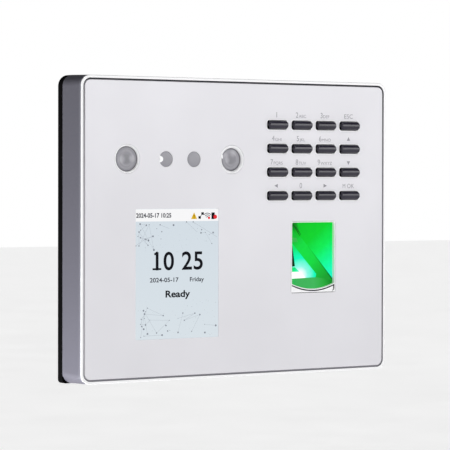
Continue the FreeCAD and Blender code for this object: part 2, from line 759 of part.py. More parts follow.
def key(name, row, column):
    """One bar-shaped key: a half-round cap with bowed ends, a retaining flange and a stem."""
    label = "key_" + name
    body = new_body(label)
    middle_u, middle_v = key_middle(row, column)
    body.setExpression("Placement.Base.x", formula(middle_u))
    body.setExpression("Placement.Base.z", formula(middle_v))

    cap_radius = "(key_width * key_width / 4 + key_proud * key_proud) / (2 * key_proud)"
    front = number("front_level")
    half = number("key_width") / 2
    base = number("key_flange_top - key_flange_thick / 2")
    crown = FreeCAD.Vector(-front - number("key_proud"), 0, 0)
    low_edge = FreeCAD.Vector(-front, -half, 0)
    high_edge = FreeCAD.Vector(-front, half, 0)
    low_base = FreeCAD.Vector(-base, -half, 0)
    high_base = FreeCAD.Vector(-base, half, 0)
    section = new_sketch(body, label + "_section", plane=SIDE_PLANE)
    section.addGeometry(Part.Arc(high_edge, crown, low_edge))
    section.addGeometry(Part.LineSegment(low_edge, low_base))
    section.addGeometry(Part.LineSegment(low_base, high_base))
    section.addGeometry(Part.LineSegment(high_base, high_edge))
    for first, second in ((1, 2), (2, 3)):
        section.addConstraint(Sketcher.Constraint("Coincident", first, 2, second, 1))
    section.addConstraint(Sketcher.Constraint("Coincident", 0, 1, 3, 2))
    section.addConstraint(Sketcher.Constraint("Coincident", 0, 2, 1, 1))
    section.addConstraint(Sketcher.Constraint("Horizontal", 1))
    section.addConstraint(Sketcher.Constraint("Horizontal", 3))
    section.addConstraint(Sketcher.Constraint("Vertical", 2))
    fix(section, "Radius", 0, cap_radius)
    fix(section, "DistanceY", 2, 1, 2, 2, "key_width")
    place(section, 1, 1, "-front_level", "-key_width / 2")
    fix(section, "DistanceX", -1, 1, 2, 1, "-(key_flange_top - key_flange_thick / 2)")
    bar = body.newObject("PartDesign::Pad", label + "_bar")
    bar.Profile = section
    bar.Midplane = True
    bar.setExpression("Length", formula("key_length"))
    section.Visibility = False
    doc.recompute()

    trim_key_ends(body, label)
    flange = new_sketch(body, label + "_flange", offset="key_flange_top - key_flange_thick")
    rounded(flange, "key_length + 2 * key_flange", "key_width + 2 * key_flange", "0.8")
    pad(body, flange, "key_flange_thick")
    stem = new_sketch(body, label + "_stem", offset="key_flange_top - key_flange_thick")
    circle(stem, "key_stem_radius")
    pad(body, stem, "key_stem_length", toward_wall=True)


def trim_key_ends(body, label):
    """Cut both ends of the bar to a gentle bow, seen from the front."""
    half_length = number("key_length / 2")
    shoulder = half_length - number("key_end_bow")
    half_width = number("key_width / 2")
    trim = new_sketch(body, label + "_ends", offset="front_level + key_proud + 1")
    ends = []
    for side in (-1, 1):
        low = FreeCAD.Vector(side * shoulder, -half_width, 0)
        crest = FreeCAD.Vector(side * half_length, 0, 0)
        high = FreeCAD.Vector(side * shoulder, half_width, 0)
        ends.append((low, crest, high))
    (left_low, left_crest, left_high), (right_low, right_crest, right_high) = ends
    trim.addGeometry(Part.Arc(left_high, left_crest, left_low))
    trim.addGeometry(Part.LineSegment(left_low, right_low))
    trim.addGeometry(Part.Arc(right_low, right_crest, right_high))
    trim.addGeometry(Part.LineSegment(right_high, left_high))
    for first, second in ((0, 1), (1, 2), (2, 3), (3, 0)):
        trim.addConstraint(Sketcher.Constraint("Coincident", first, 2, second, 1))
    trim.addConstraint(Sketcher.Constraint("Horizontal", 1))
    trim.addConstraint(Sketcher.Constraint("Horizontal", 3))
    trim.addConstraint(Sketcher.Constraint("Equal", 0, 2))
    bow_radius = "(key_width * key_width / 4 + key_end_bow * key_end_bow) / (2 * key_end_bow)"
    fix(trim, "Radius", 0, bow_radius)
    fix(trim, "DistanceX", 1, 1, 1, 2, "key_length - 2 * key_end_bow")
    fix(trim, "DistanceY", 1, 1, 3, 2, "key_width")
    place(trim, 1, 1, "-key_length / 2 + key_end_bow", "-key_width / 2")
    rectangle(trim, "key_length + 2", "key_width + 2")
    pocket(body, trim, "key_proud + 5")


def keypad_layers():
    """The silicone membrane with its domes, the keypad board and the dome switches."""
    middle_u = "key_left + 1.5 * key_pitch_u"
    middle_v = "key_top - 1.5 * key_pitch_v"
    switch_level = "keypad_board_level + board_thick"
    sheet_level = switch_level + " + key_switch_thick + 0.1"
    dome_level = sheet_level + " + membrane_thick"
    pieces = [block("membrane_sheet", middle_u, middle_v, sheet_level, "4 * key_pitch_u + 1.2",
                    "4 * key_pitch_v + 0.2", "membrane_thick")]
    switches = []
    for row in range(4):
        for column in range(4):
            spot = key_middle(row, column)
            tag = "%d_%d" % (row, column)
            pieces.append(disc("membrane_dome_" + tag, "dome_radius", *spot, dome_level,
                               "dome_height"))
            switches.append(disc("dome_switch_" + tag, "key_switch_radius", *spot, switch_level,
                                 "key_switch_thick"))
    keep(fuse("keypad_membrane", pieces), "keypad_membrane")
    drilled_board("keypad_board", KEYPAD_POSTS)
    group("key_switches", switches)


# ---------------------------------------------------------------- the display

def display():
    """The liquid-crystal cell with its bonded cover glass, its metal frame and backlight."""
    body = new_body("lcd_panel")
    cell = new_sketch(body, "cell_outline", offset="cell_level")
    rectangle(cell, "module_width - 2 * frame_wall - 0.2", "module_height - 2 * frame_wall - 0.2",
              "screen_u", "module_v")
    pad(body, cell, "cell_thick")
    cover = new_sketch(body, "cover_glass", offset="cell_level + cell_thick")
    rounded(cover, "screen_width", "screen_height", "0.4", "screen_u", "screen_v")
    pad(body, cover, "front_level - screen_sink - cell_level - cell_thick")

    frame = new_body("lcd_frame")
    tray = new_sketch(frame, "frame_outline", offset="module_level")
    rectangle(tray, "module_width", "module_height", "screen_u", "module_v")
    pad(frame, tray, "cell_level + cell_thick - module_level")
    well = new_sketch(frame, "frame_well", offset="cell_level + cell_thick")
    rectangle(well, "module_width - 2 * frame_wall", "module_height - 2 * frame_wall",
              "screen_u", "module_v")
    pocket(frame, well, "cell_level + cell_thick - module_level - frame_wall")

    keep(block("backlight"), "lcd_backlight")
    keep(block("lcd_ribbon"), "lcd_ribbon")


# ---------------------------------------------------------------- the fingerprint sensor

def finger_opening(sketch, play):
    """The outline inside the bezel: square at the top, with a bowed lip at the bottom."""
    half = number("finger_width / 2 - bezel_side - (%s)" % play)
    top = number("finger_height / 2 - bezel_side - (%s)" % play)
    shoulder = number("-finger_height / 2 + bezel_lip + (%s)" % play)
    middle = FreeCAD.Vector(number("finger_u"), number("finger_v"), 0)
    crest = FreeCAD.Vector(0, shoulder - number("bezel_bow"), 0)
    high_left = FreeCAD.Vector(-half, top, 0)
    low_left = FreeCAD.Vector(-half, shoulder, 0)
    low_right = FreeCAD.Vector(half, shoulder, 0)
    high_right = FreeCAD.Vector(half, top, 0)
    sketch.addGeometry(Part.LineSegment(middle + high_left, middle + low_left))
    sketch.addGeometry(Part.Arc(middle + low_left, middle + crest, middle + low_right))
    sketch.addGeometry(Part.LineSegment(middle + low_right, middle + high_right))
    sketch.addGeometry(Part.LineSegment(middle + high_right, middle + high_left))
    first = sketch.GeometryCount - 4
    for start, end in ((0, 1), (1, 2), (2, 3), (3, 0)):
        sketch.addConstraint(Sketcher.Constraint("Coincident", first + start, 2, first + end, 1))
    sketch.addConstraint(Sketcher.Constraint("Vertical", first))
    sketch.addConstraint(Sketcher.Constraint("Vertical", first + 2))
    sketch.addConstraint(Sketcher.Constraint("Horizontal", first + 3))
    half_span = "(finger_width / 2 - bezel_side - %s)" % play
    fix(sketch, "Radius", first + 1,
        "(%s * %s + bezel_bow * bezel_bow) / (2 * bezel_bow)" % (half_span, half_span))
    place(sketch, first, 1, "finger_u - " + half_span,
          "finger_v + finger_height / 2 - bezel_side - %s" % play)
    fix(sketch, "DistanceY", -1, 1, first, 2,
        "finger_v - finger_height / 2 + bezel_lip + %s" % play)
    place(sketch, first + 2, 1, "finger_u + " + half_span,
          "finger_v - finger_height / 2 + bezel_lip + %s" % play)


def finger_sensor():
    """The bezel, the glass prism behind it, and the housing with its board, lamps and camera."""
    bezel = new_body("finger_bezel")
    outline = new_sketch(bezel, "bezel_outline", offset="bezel_level")
    rounded(outline, "finger_width - 0.2", "finger_height - 0.2", "finger_corner - 0.1",
            "finger_u", "finger_v")
    pad(bezel, outline, "front_level - bezel_level")
    opening = new_sketch(bezel, "bezel_opening", offset="front_level")
    finger_opening(opening, "0")
    pocket(bezel, opening, "front_level - bezel_level")

    prism = new_body("finger_prism")
    glass = new_sketch(prism, "prism_outline", offset="prism_top")
    finger_opening(glass, "prism_play")
    pad(prism, glass, "prism_top - prism_bottom", toward_wall=True)
    bevel = new_sketch(prism, "prism_bevel", plane=SIDE_PLANE,
                       offset="finger_u - finger_width / 2 - 1")
    prism_bevel(bevel)
    pocket(prism, bevel, "finger_width + 2", toward_wall=False)

    housing = new_body("sensor_housing")
    collar = new_sketch(housing, "collar", offset="sensor_board_level + sensor_board_depth")
    rectangle(collar, "finger_width + 2 * collar_wall", "finger_height + 2 * collar_wall",
              "finger_u", "finger_v")
    pad(housing, collar, COLLAR_TOP + " - sensor_board_level - sensor_board_depth")
    ears = new_sketch(housing, "ears", offset=DECK_UNDER)
    rectangle(ears, "2 * sensor_post_u + 5", "finger_height", "finger_u", "finger_v")
    pad(housing, ears, "sensor_ear_thick", toward_wall=True)
    well = new_sketch(housing, "sensor_well", offset=COLLAR_TOP)
    rectangle(well, "finger_width - 2 * collar_play", "finger_height - 2 * collar_play",
              "finger_u", "finger_v")
    pocket(housing, well, COLLAR_TOP + " - sensor_floor_level")
    eye = new_sketch(housing, "camera_eye", offset="sensor_floor_level")
    rectangle(eye, "sensor_camera_width + 0.6", "sensor_camera_height + 0.6",
              "sensor_camera_u", "sensor_camera_v")
    pocket(housing, eye, "sensor_floor_level - sensor_board_level - sensor_board_depth")
    holes = new_sketch(housing, "ear_holes", offset=DECK_UNDER)
    for hole_u, hole_v in SENSOR_POSTS:
        circle(holes, "screw_radius + screw_play", hole_u, hole_v)
    pocket(housing, holes, "sensor_ear_thick")

    keep(block("sensor_board"), "sensor_board")
    keep(block("sensor_camera"), "sensor_camera")
    lamps = []
    for index, shift in enumerate((-9, -3, 3, 9)):
        lamps.append(block("green_lamp_%d" % index, "finger_u - finger_width / 2 + 2",
                           "finger_v + %d" % shift, "sensor_floor_level", "sensor_lamp_size",
                           "sensor_lamp_size", "sensor_lamp_thick"))
    group("sensor_lamps", lamps)


def prism_bevel(sketch):
    """A triangle that slopes the prism's back face from its upper edge to its lower one."""
    back = -number("prism_bottom") + 1
    low = number("finger_v - finger_height / 2 - 1")
    high = number("finger_v + finger_height / 2")
    deep = -number("prism_bottom + prism_slope")
    corner = FreeCAD.Vector(back, low, 0)
    far = FreeCAD.Vector(back, high, 0)
    near = FreeCAD.Vector(deep, low, 0)
    for start, end in ((corner, far), (far, near), (near, corner)):
        sketch.addGeometry(Part.LineSegment(start, end))
    for first, second in ((0, 1), (1, 2), (2, 0)):
        sketch.addConstraint(Sketcher.Constraint("Coincident", first, 2, second, 1))
    place(sketch, 0, 1, "-prism_bottom + 1", "finger_v - finger_height / 2 - 1")
    place(sketch, 0, 2, "-prism_bottom + 1", "finger_v + finger_height / 2")
    place(sketch, 2, 1, "-prism_bottom - prism_slope", "finger_v - finger_height / 2 - 1")


# ---------------------------------------------------------------- the optical windows

def optical_windows():
    """Rings and panes of the two camera windows, the infrared windows, and what is behind."""
    rings = []
    panes = []
    lenses = []
    pane_level = "front_level - pane_sink - pane_thick"
    board_top = "camera_board_level + board_thick"
    for side in ("left", "right"):
        spot = (side + "_window_u", "window_v")
        rim = disc(side + "_ring_rim", "ring_radius", *spot, "front_level - panel_thick + 0.1",
                   "panel_thick - 0.1")
        bore = disc(side + "_ring_bore", "ring_radius - ring_width", *spot,
                    "front_level - panel_thick - 1", "panel_thick + 2")
        rings.append(cut(side + "_ring", rim, bore))
        panes.append(disc(side + "_pane", "ring_radius - ring_width - 0.1", *spot, pane_level,
                          "pane_thick"))
        barrel = disc(side + "_barrel", "camera_radius", *spot, board_top, "camera_length")
        nose = disc(side + "_nose", "camera_nose_radius", *spot, board_top,
                    "camera_nose_length")
        lenses.append(fuse(side + "_camera", [barrel, nose]))
    group("lens_rings", rings)
    group("camera_panes", panes)
    group("camera_modules", lenses)

    covers = []
    lamps = []
    for side in ("left", "right"):
        spot = (side + "_infrared_u", "window_v")
        covers.append(disc(side + "_infrared_cover", "infrared_radius", *spot,
                           "front_level - panel_thick + 0.1", "panel_thick - 0.15"))
        stalk = disc(side + "_lamp_base", "led_radius", *spot, board_top, "led_base_length")
        dome = doc.addObject("Part::Sphere", side + "_lamp_dome")
        dome.setExpression("Radius", formula("led_radius"))
        dome.setExpression("Placement.Base.x", formula(spot[0]))
        dome.setExpression("Placement.Base.y", formula("-(%s) - led_base_length" % board_top))
        dome.setExpression("Placement.Base.z", formula("window_v"))
        lamps.append(fuse(side + "_lamp", [stalk, dome]))
    group("infrared_covers", covers)
    group("infrared_lamps", lamps)
    drilled_board("camera_board", CAMERA_POSTS)


# ---------------------------------------------------------------- the electronics

def main_board():
    """The main board and the parts soldered to it."""
    drilled_board("main_board", BOARD_POSTS)
    chips = ["processor", "memory", "flash", "network_chip", "bus_chip", "power_chip"]
    group("board_chips", [block(name) for name in chips])
    top = "main_board_level + board_thick"
    capacitors = [
        disc("capacitor_%d" % index, "capacitor_radius", spot_u, spot_v, top, "capacitor_height")
        for index, (spot_u, spot_v) in enumerate(CAPACITORS)
    ]
    group("board_capacitors", capacitors)
    keep(block("lock_relay"), "lock_relay")
    keep(block("battery_holder"), "battery_holder")
    keep(disc("clock_battery", "clock_battery_radius", "battery_holder_u", "battery_holder_v",
              "battery_holder_level + battery_holder_depth", "clock_battery_thick"),
         "clock_battery")
    keep(disc("buzzer", "buzzer_radius", "buzzer_u", "buzzer_v", top, "buzzer_height"), "buzzer")
    keep(block("speaker"), "speaker")
    keep(block("card_antenna"), "card_antenna")
    wire_headers()
    usb_port()


def wire_headers():
    """White wiring headers on the back of the main board, open towards the wall."""
    headers = []
    for index, (middle_u, length) in enumerate(HEADERS):
        tag = "header_%d" % index
        level = "main_board_level - %s" % HEADER_DEPTH
        shroud = block(tag + "_shroud", str(middle_u), "cable_bay_v", level, str(length),
                       str(HEADER_HEIGHT), str(HEADER_DEPTH))
        hollow = block(tag + "_hollow", str(middle_u), "cable_bay_v", level + " - 1",
                       str(length - 2 * HEADER_WALL), str(HEADER_HEIGHT - 2 * HEADER_WALL),
                       str(HEADER_DEPTH))
        headers.append(cut(tag, shroud, hollow))
    group("wire_headers", headers)


def usb_port():
    """The USB socket that opens through the bottom wall: a steel shell round a tongue."""
    shell = block("usb_shell")
    hollow = block("usb_hollow", "usb_shell_u", "usb_shell_v - 1", "usb_shell_level + usb_wall",
                   "usb_shell_width - 2 * usb_wall", "usb_shell_height",
                   "usb_shell_depth - 2 * usb_wall")
    keep(cut("usb_shell_cut", shell, hollow), "usb_port")
    keep(block("usb_tongue", "usb_shell_u", "usb_shell_v + 0.5", "usb_tongue_level",
               "usb_tongue_width", "usb_shell_height - 3.2", "usb_tongue_thick"), "usb_tongue")


def switches():
    """The reset and tamper switches with the two small pieces that press them."""
    reset_level = "reset_switch_level + reset_switch_depth / 2"
    low = "reset_switch_v - reset_switch_height / 2"
    case = block("reset_case", "reset_switch_u", "reset_switch_v", "reset_switch_level",
                 "reset_switch_width", "reset_switch_height", "reset_switch_depth")
    bore = upright("reset_bore", "reset_button_radius + running_play", "reset_switch_u",
                   reset_level, low + " - 1", "3.3")
    keep(cut("reset_switch", case, bore), "reset_switch")
    keep(upright("reset_button", "reset_button_radius", "reset_switch_u", reset_level,
                 low + " - reset_button_proud", "reset_button_length"), "reset_button")

    keep(block("tamper_switch"), "tamper_switch")
    collar_level = "recess_depth + cover_floor + 0.2"
    plunger = disc("plunger_rod", "tamper_radius", "tamper_u", "tamper_v", "tamper_sink",
                   collar_level + " + tamper_flange_thick - tamper_sink")
    collar = disc("plunger_collar", "tamper_flange_radius", "tamper_u", "tamper_v",
                  collar_level, "tamper_flange_thick")
    keep(fuse("tamper_plunger", [plunger, collar]), "tamper_plunger")


# ---------------------------------------------------------------- the fasteners

def screw(name, post_u, post_v, head_level, length, head_near_wall):
    """A pan-head screw along Y with a cross in its head. The head is at the end nearer the
    wall, or at the end nearer the user."""
    head = disc(name + "_head", "screw_head_radius", post_u, post_v, head_level,
                "screw_head_thick")
    if head_near_wall:
        shank_level = "%s + screw_head_thick" % head_level
        cross_level = "%s - 1 + screw_cross_depth" % head_level
    else:
        shank_level = "%s - (%s)" % (head_level, length)
        cross_level = "%s + screw_head_thick - screw_cross_depth" % head_level
    shank = disc(name + "_shank", "screw_radius", post_u, post_v, shank_level, length)
    whole = fuse(name + "_blank", [head, shank])
    across = block(name + "_slot_a", post_u, post_v, cross_level, "screw_cross_length",
                   "screw_cross_width", "1")
    along = block(name + "_slot_b", post_u, post_v, cross_level, "screw_cross_width",
                  "screw_cross_length", "1")
    return cut(name, whole, fuse(name + "_cross", [across, along]))


def screws():
    """Screws of each kind, as groups of separate solids."""
    group("cover_screws", [
        screw("cover_screw_%d" % index, post_u, post_v, "0.2", "cover_screw_length", True)
        for index, (post_u, post_v) in enumerate(COVER_POSTS)
    ])
    board_top = "main_board_level + board_thick"
    group("board_screws", [
        screw("board_screw_%d" % index, post_u, post_v, board_top, "board_thick + 2.2", False)
        for index, (post_u, post_v) in enumerate(BOARD_POSTS)
    ])
    inner = [(spot, "camera_board_level", "board_thick + 3.4") for spot in CAMERA_POSTS]
    inner += [(spot, "keypad_board_level", "board_thick + 2.2") for spot in KEYPAD_POSTS]
    inner += [(spot, DECK_UNDER + " - sensor_ear_thick", "sensor_ear_thick + 1.3")
              for spot in SENSOR_POSTS]
    group("inner_screws", [
        screw("inner_screw_%d" % index, post_u, post_v, "%s - screw_head_thick" % seat, length, True)
        for index, ((post_u, post_v), seat, length) in enumerate(inner)
    ])


# ---------------------------------------------------------------- build, check, export

def check_document():
    """Stop on any object that failed, and on any sub-part that isn't a valid solid."""
    for item in doc.Objects:
        failed = {"Invalid", "Error"} & set(item.State)
        if failed:
            raise RuntimeError("%s is %s" % (item.Label, ", ".join(failed)))
    for piece in nodes:
        if piece.Shape.isNull() or not piece.Shape.isValid() or not piece.Shape.Solids:
            raise RuntimeError("%s has no valid solid" % piece.Label)


def export():
    os.makedirs("parts", exist_ok=True)
    for piece in nodes:
        piece.Shape.exportStep("parts/%s.step" % piece.Label)


fill_sheet()
front_housing()
rear_cover()
front_panel()
panel_adhesive()
wall_bracket()
lock_screw()
for row_index, row_names in enumerate(KEY_NAMES):
    for column_index, key_name in enumerate(row_names):
        key(key_name, row_index, column_index)
keypad_layers()
display()
finger_sensor()
optical_windows()
main_board()
switches()
screws()
doc.recompute()
check_document()
export()
print(len(nodes), "sub-parts")
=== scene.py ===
import json
import math
import random

import bmesh
import bpy
from mathutils import Matrix, Vector


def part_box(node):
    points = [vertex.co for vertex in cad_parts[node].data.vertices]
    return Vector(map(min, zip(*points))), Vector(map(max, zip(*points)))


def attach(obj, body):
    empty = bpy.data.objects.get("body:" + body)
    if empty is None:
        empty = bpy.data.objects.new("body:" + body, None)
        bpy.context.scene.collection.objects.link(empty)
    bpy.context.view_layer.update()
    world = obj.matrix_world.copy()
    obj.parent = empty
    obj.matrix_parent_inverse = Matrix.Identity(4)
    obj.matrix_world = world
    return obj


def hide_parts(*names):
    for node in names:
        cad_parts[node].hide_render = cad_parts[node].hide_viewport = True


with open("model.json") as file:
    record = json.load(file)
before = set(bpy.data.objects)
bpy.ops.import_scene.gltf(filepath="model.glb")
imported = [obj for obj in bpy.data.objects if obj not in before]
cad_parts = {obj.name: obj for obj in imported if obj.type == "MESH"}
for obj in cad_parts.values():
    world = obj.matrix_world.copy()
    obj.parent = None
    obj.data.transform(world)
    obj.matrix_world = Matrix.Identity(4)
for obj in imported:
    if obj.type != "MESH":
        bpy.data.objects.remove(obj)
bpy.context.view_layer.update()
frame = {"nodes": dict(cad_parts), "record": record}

# A wall-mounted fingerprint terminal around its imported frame. Sizes here are millimetres,
# "level" is a distance off the wall, and a point (u, v, level) is x = u, y = -level, z = v.

MM = 0.001
CASE = "case"

PANEL_LOW, PANEL_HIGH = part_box("front_panel")
FRONT_LEVEL = -PANEL_LOW.y / MM
PANEL_BACK = -PANEL_HIGH.y / MM
PANEL_CORNER = 2.9

# The keys by rows: a name, and the main and the small legend above it. The four without a
# legend have an arrow that points where the name says.
KEYS = (
    ("one", "1", ""), ("two", "2", "ABC"), ("three", "3", "DEF"), ("escape", "ESC", ""),
    ("four", "4", "GHI"), ("five", "5", "JKL"), ("six", "6", "MNO"), ("up", "", ""),
    ("seven", "7", "PQRS"), ("eight", "8", "TUV"), ("nine", "9", "WXYZ"), ("down", "", ""),
    ("left", "", ""), ("zero", "0", ""), ("right", "", ""), ("enter", "M", "OK"),
)
KEY_LENGTH = 10.8
KEY_WIDTH = 3.95
KEY_PROUD = 1.7
KEY_BOW = 1.0
KEY_CROWN = 2.5             # exponent of the crown's section: 2 is a half ellipse
KEY_EDGE = 0.75
KEY_SKIRT = 2.1
KEY_PLAY = 0.2
KEY_EDGE_STEPS = 7
KEY_ARC_STEPS = 32

SCREEN_WIDTH = 43.2
SCREEN_HEIGHT = 57.6
SCREEN_ABOVE_MODULE = 2.0
ART_LIFT = 0.012

FINGER_WIDTH = 24.8
FINGER_HEIGHT = 32.9
BEZEL_SIDE = 0.5
BEZEL_LIP = 4.2
BEZEL_BOW = 2.5
PRISM_LEAN = 0.65
# Size of the painted shadow strip at the lower right of the fingerprint window.
PAINTED_SHADOW_INSET = 0.55
PAINTED_SHADOW_BEND = 1.5

TURN_STEPS = 72
LENS_BACK = -1.35
RING_BACK = -1.4
RING_WALL = 0.55
LENS_RING_REACH = 6.0

HEADER_STARTS = ((-44.5, 4), (-29.5, 4), (-14.5, 4), (0.6, 3))
PIN_PITCH = 3.0
USB_PITCH = 2.3

CAMERA_YAW, CAMERA_PITCH, CAMERA_ROLL = 32.909, 1.206, -0.128
CAMERA_U, CAMERA_V, CAMERA_OFF = -573.9, 23.4, 874.6
CAMERA_LENS, CAMERA_SENSOR = 184.8, 36.0
FLOOR_REACH, FLOOR_DROP = 40.0, -1.4


# ---------------------------------------------------------------- small helpers

def point(u, v, level):
    return Vector((u * MM, -level * MM, v * MM))


def middle(node):
    """The middle of a CAD node's box as (u, v)."""
    low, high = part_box(node)
    return (low.x + high.x) / 2 / MM, (low.z + high.z) / 2 / MM


def around(centre, turn, radius_u, radius_v=None):
    """The (u, v) on a circle or an ellipse about a centre, at an angle in radians."""
    return (centre[0] + radius_u * math.cos(turn),
            centre[1] + (radius_v or radius_u) * math.sin(turn))


def ring(centre, outline, level):
    """The points of an outline of (u, v) about a centre, at a level."""
    return [point(centre[0] + u, centre[1] + v, level) for u, v in outline]


def rectangle(half_u, half_v):
    return (-half_u, -half_v), (half_u, -half_v), (half_u, half_v), (-half_u, half_v)


def linear(colour):
    """A colour as a shader takes it. One number is a grey, three are display values of 0 to
    255, and four are linear already."""
    if isinstance(colour, (int, float)):
        return (colour, colour, colour, 1.0)
    if len(colour) == 4:
        return colour
    shares = [value / 255 for value in colour]
    return (*(share / 12.92 if share <= 0.04045 else ((share + 0.055) / 1.055) ** 2.4
              for share in shares), 1.0)


def tint(colour, share):
    """A colour made darker or lighter."""
    return tuple(min(1.0, channel * share) for channel in linear(colour)[:3]) + (1.0,)


# ---------------------------------------------------------------- materials

class Nodes:
    """A node tree, cleared and built again node by node."""

    def __init__(self, tree):
        self.tree = tree
        tree.nodes.clear()

    def feed(self, socket, value):
        """Give an input its value, or link the output that feeds it."""
        if isinstance(value, bpy.types.NodeSocket):
            self.tree.links.new(value, socket)
        else:
            socket.default_value = linear(value) if socket.type == "RGBA" else value

    def node(self, kind, **inputs):
        """Add a shader node, and feed its inputs by name."""
        node = self.tree.nodes.new("ShaderNode" + kind)
        for name, value in inputs.items():
            self.feed(node.inputs[name.replace("_", " ")], value)
        return node

    def ramp(self, factor, stops):
        """A colour ramp over a factor: stops are (position, colour)."""
        node = self.node("ValToRGB", Fac=factor)
        elements = node.color_ramp.elements
        while len(elements) < len(stops):
            elements.new(0.5)
        for element, (position, colour) in zip(elements, stops):
            element.position = position
            element.color = linear(colour)
        return node.outputs["Color"]


class Finish(Nodes):
    """A procedural material: a Principled shader and the nodes that feed it."""

    def __init__(self, name, **sockets):
        self.material = bpy.data.materials.new(name)
        self.material.use_nodes = True
        super().__init__(self.material.node_tree)
        self.shader = self.node("BsdfPrincipled")
        self.node("OutputMaterial", Surface=self.shader.outputs["BSDF"])
        self.place = self.node("TexCoord").outputs["Object"]
        self.set(**sockets)

    def set(self, **sockets):
        """Feed the shader's own inputs, such as roughness=0.4 or base_color=ramp."""
        for name, value in sockets.items():
            socket = name.replace("_", " ").title().replace("Ior", "IOR")
            self.feed(self.shader.inputs[socket], value)

    def noise(self, size_mm, detail=3.0, stretch=(1, 1, 1)):
        """Noise whose features are about size_mm across, in 0 to 1."""
        mapping = self.node("Mapping", Vector=self.place, Scale=stretch)
        return self.node("TexNoise", Vector=mapping.outputs["Vector"], Roughness=0.5,
                         Scale=1 / (size_mm * MM), Detail=detail).outputs["Fac"]

    def stretch(self, factor, low, high, new_low=0.0, new_high=1.0):
        """Map a number from one range to another, clamped."""
        return self.node("MapRange", Value=factor, From_Min=low, From_Max=high, To_Min=new_low,
                         To_Max=new_high).outputs["Result"]

    def mottle(self, size_mm, low, high, detail=3.0):
        """Noise that wanders between two values."""
        return self.stretch(self.noise(size_mm, detail), 0.3, 0.7, low, high)

    def vector(self, operation, source, value):
        """The outputs of a vector operation between a socket and a fixed vector."""
        node = self.node("VectorMath")
        node.operation = operation
        node.inputs[1].default_value = value
        self.feed(node.inputs[0], source)
        return node.outputs

    def along(self, start, end):
        """How far a point lies from start, 0, to end, 1, along the line between them."""
        line = end - start
        shift = self.vector("SUBTRACT", self.place, start)["Vector"]
        return self.vector("DOT_PRODUCT", shift, line / line.length_squared)["Value"]

    def distance(self, centre, reach):
        """How far a point lies from a centre, as a share of reach."""
        return self.stretch(self.vector("DISTANCE", self.place, centre)["Value"], 0.0, reach)

    def mix(self, factor, first, second):
        """Mix two colours: each is a colour or a socket."""
        node = self.node("Mix", Factor=factor)
        node.data_type = "RGBA"
        for name, value in (("A", first), ("B", second)):
            self.feed([item for item in node.inputs
                       if item.name == name and item.type == "RGBA"][0], value)
        return [item for item in node.outputs if item.type == "RGBA"][0]

    def bump(self, height, depth_mm):
        self.set(normal=self.node("Bump", Height=height, Strength=1.0,
                                  Distance=depth_mm * MM).outputs["Normal"])


def moulded(name, colour, rough=0.45, grain=0.35, depth=0.006, vary=0.12, coat=0.0,
            specular=0.5, ior=1.45):
    """Moulded plastic: a fine spark-eroded grain and slight mottling."""
    finish = Finish(name, coat_weight=coat, coat_roughness=0.12, specular_ior_level=specular,
                    ior=ior)
    base = finish.ramp(finish.noise(9.0, detail=4.0),
                       [(0.3, tint(colour, 1 - vary)), (0.7, tint(colour, 1 + vary))])
    finish.set(base_color=base, roughness=finish.mottle(2.0, rough - 0.05, rough + 0.05))
    finish.bump(finish.noise(grain, detail=2.0), depth)
    return finish.material


def plated(name, colour, rough=0.3, brushed=(1, 1, 1), depth=0.004, patch=0.08):
    """Plated or brushed metal of a linear colour, with the brushing drawn out along one axis."""
    finish = Finish(name, metallic=1.0)
    fine = finish.noise(0.5, detail=5.0, stretch=brushed)
    base = finish.ramp(fine, [(0.3, tint((*colour, 1), 0.85)), (0.7, (*colour, 1))])
    finish.set(base_color=base, roughness=finish.mottle(3.0, rough - patch, rough + patch))
    finish.bump(fine, depth)
    return finish.material


def panel_print():
    """The front panel's back-printed acrylic sheet, with a faint satin texture."""
    finish = Finish("panel_print", coat_weight=0.25, coat_roughness=0.18, specular_ior_level=0.4)
    cloud = finish.noise(45.0, detail=2.0)
    finish.set(base_color=finish.ramp(cloud, [(0.35, (226, 225, 230)), (0.65, (231, 230, 235))]),
               roughness=finish.mottle(1.5, 0.42, 0.5))
    finish.bump(finish.noise(0.25, detail=2.0), 0.003)
    return finish.material


def housing_paint():
    """Silver paint on the sides, with a paler band along the outer fillet behind the rim that is a
    painted highlight, running to white over the front rim, which is partly the rim's colour and
    partly a painted highlight of its chamfer.
    """
    finish = Finish("housing_paint", coat_weight=0.08, coat_roughness=0.3)
    flakes = finish.noise(0.12, detail=2.0)
    silver = finish.ramp(flakes, [(0.35, (75, 74, 84)), (0.65, (87, 86, 97))])
    # pale is a painted highlight: the lighter band on the outer fillet just behind the rim.
    pale = finish.ramp(flakes, [(0.35, (90, 90, 100)), (0.65, (102, 102, 112))])
    depth = finish.along(point(0, 0, FRONT_LEVEL), point(0, 0, FRONT_LEVEL - 2.2))
    # The front rim's white is partly its own colour and partly a painted highlight of its chamfer.
    white_rim_and_highlight = finish.stretch(depth, 0.09, 0.13)
    edge_highlight_band = finish.stretch(depth, 0.6, 0.9)
    paint = finish.mix(white_rim_and_highlight, (253, 253, 254), finish.mix(edge_highlight_band, pale, silver))
    finish.set(base_color=paint, metallic=finish.stretch(white_rim_and_highlight, 0.0, 1.0, 0.0, 0.3),
               roughness=finish.mottle(1.0, 0.5, 0.58))
    finish.bump(flakes, 0.002)
    return finish.material


def gasket_foam_painted_shade():
    """The foam in the panel's groove, with painted shade that darkens it towards the top, and a
    little darker at the very bottom.
    """
    finish = Finish("gasket_foam_painted_shade")
    height = finish.along(point(0, -67, 0), point(0, 67, 0))
    # The dark end of this ramp, at the top, is painted shade.
    painted_shade_ramp = [(0.0, (132, 131, 138)), (0.08, (186, 184, 190)), (0.5, (186, 184, 190)),
              (0.85, (128, 127, 134)), (1.0, (52, 51, 56))]
    finish.set(base_color=finish.ramp(height, painted_shade_ramp), roughness=finish.mottle(1.0, 0.85, 0.95))
    finish.bump(finish.noise(0.5, detail=2.0), 0.03)
    return finish.material


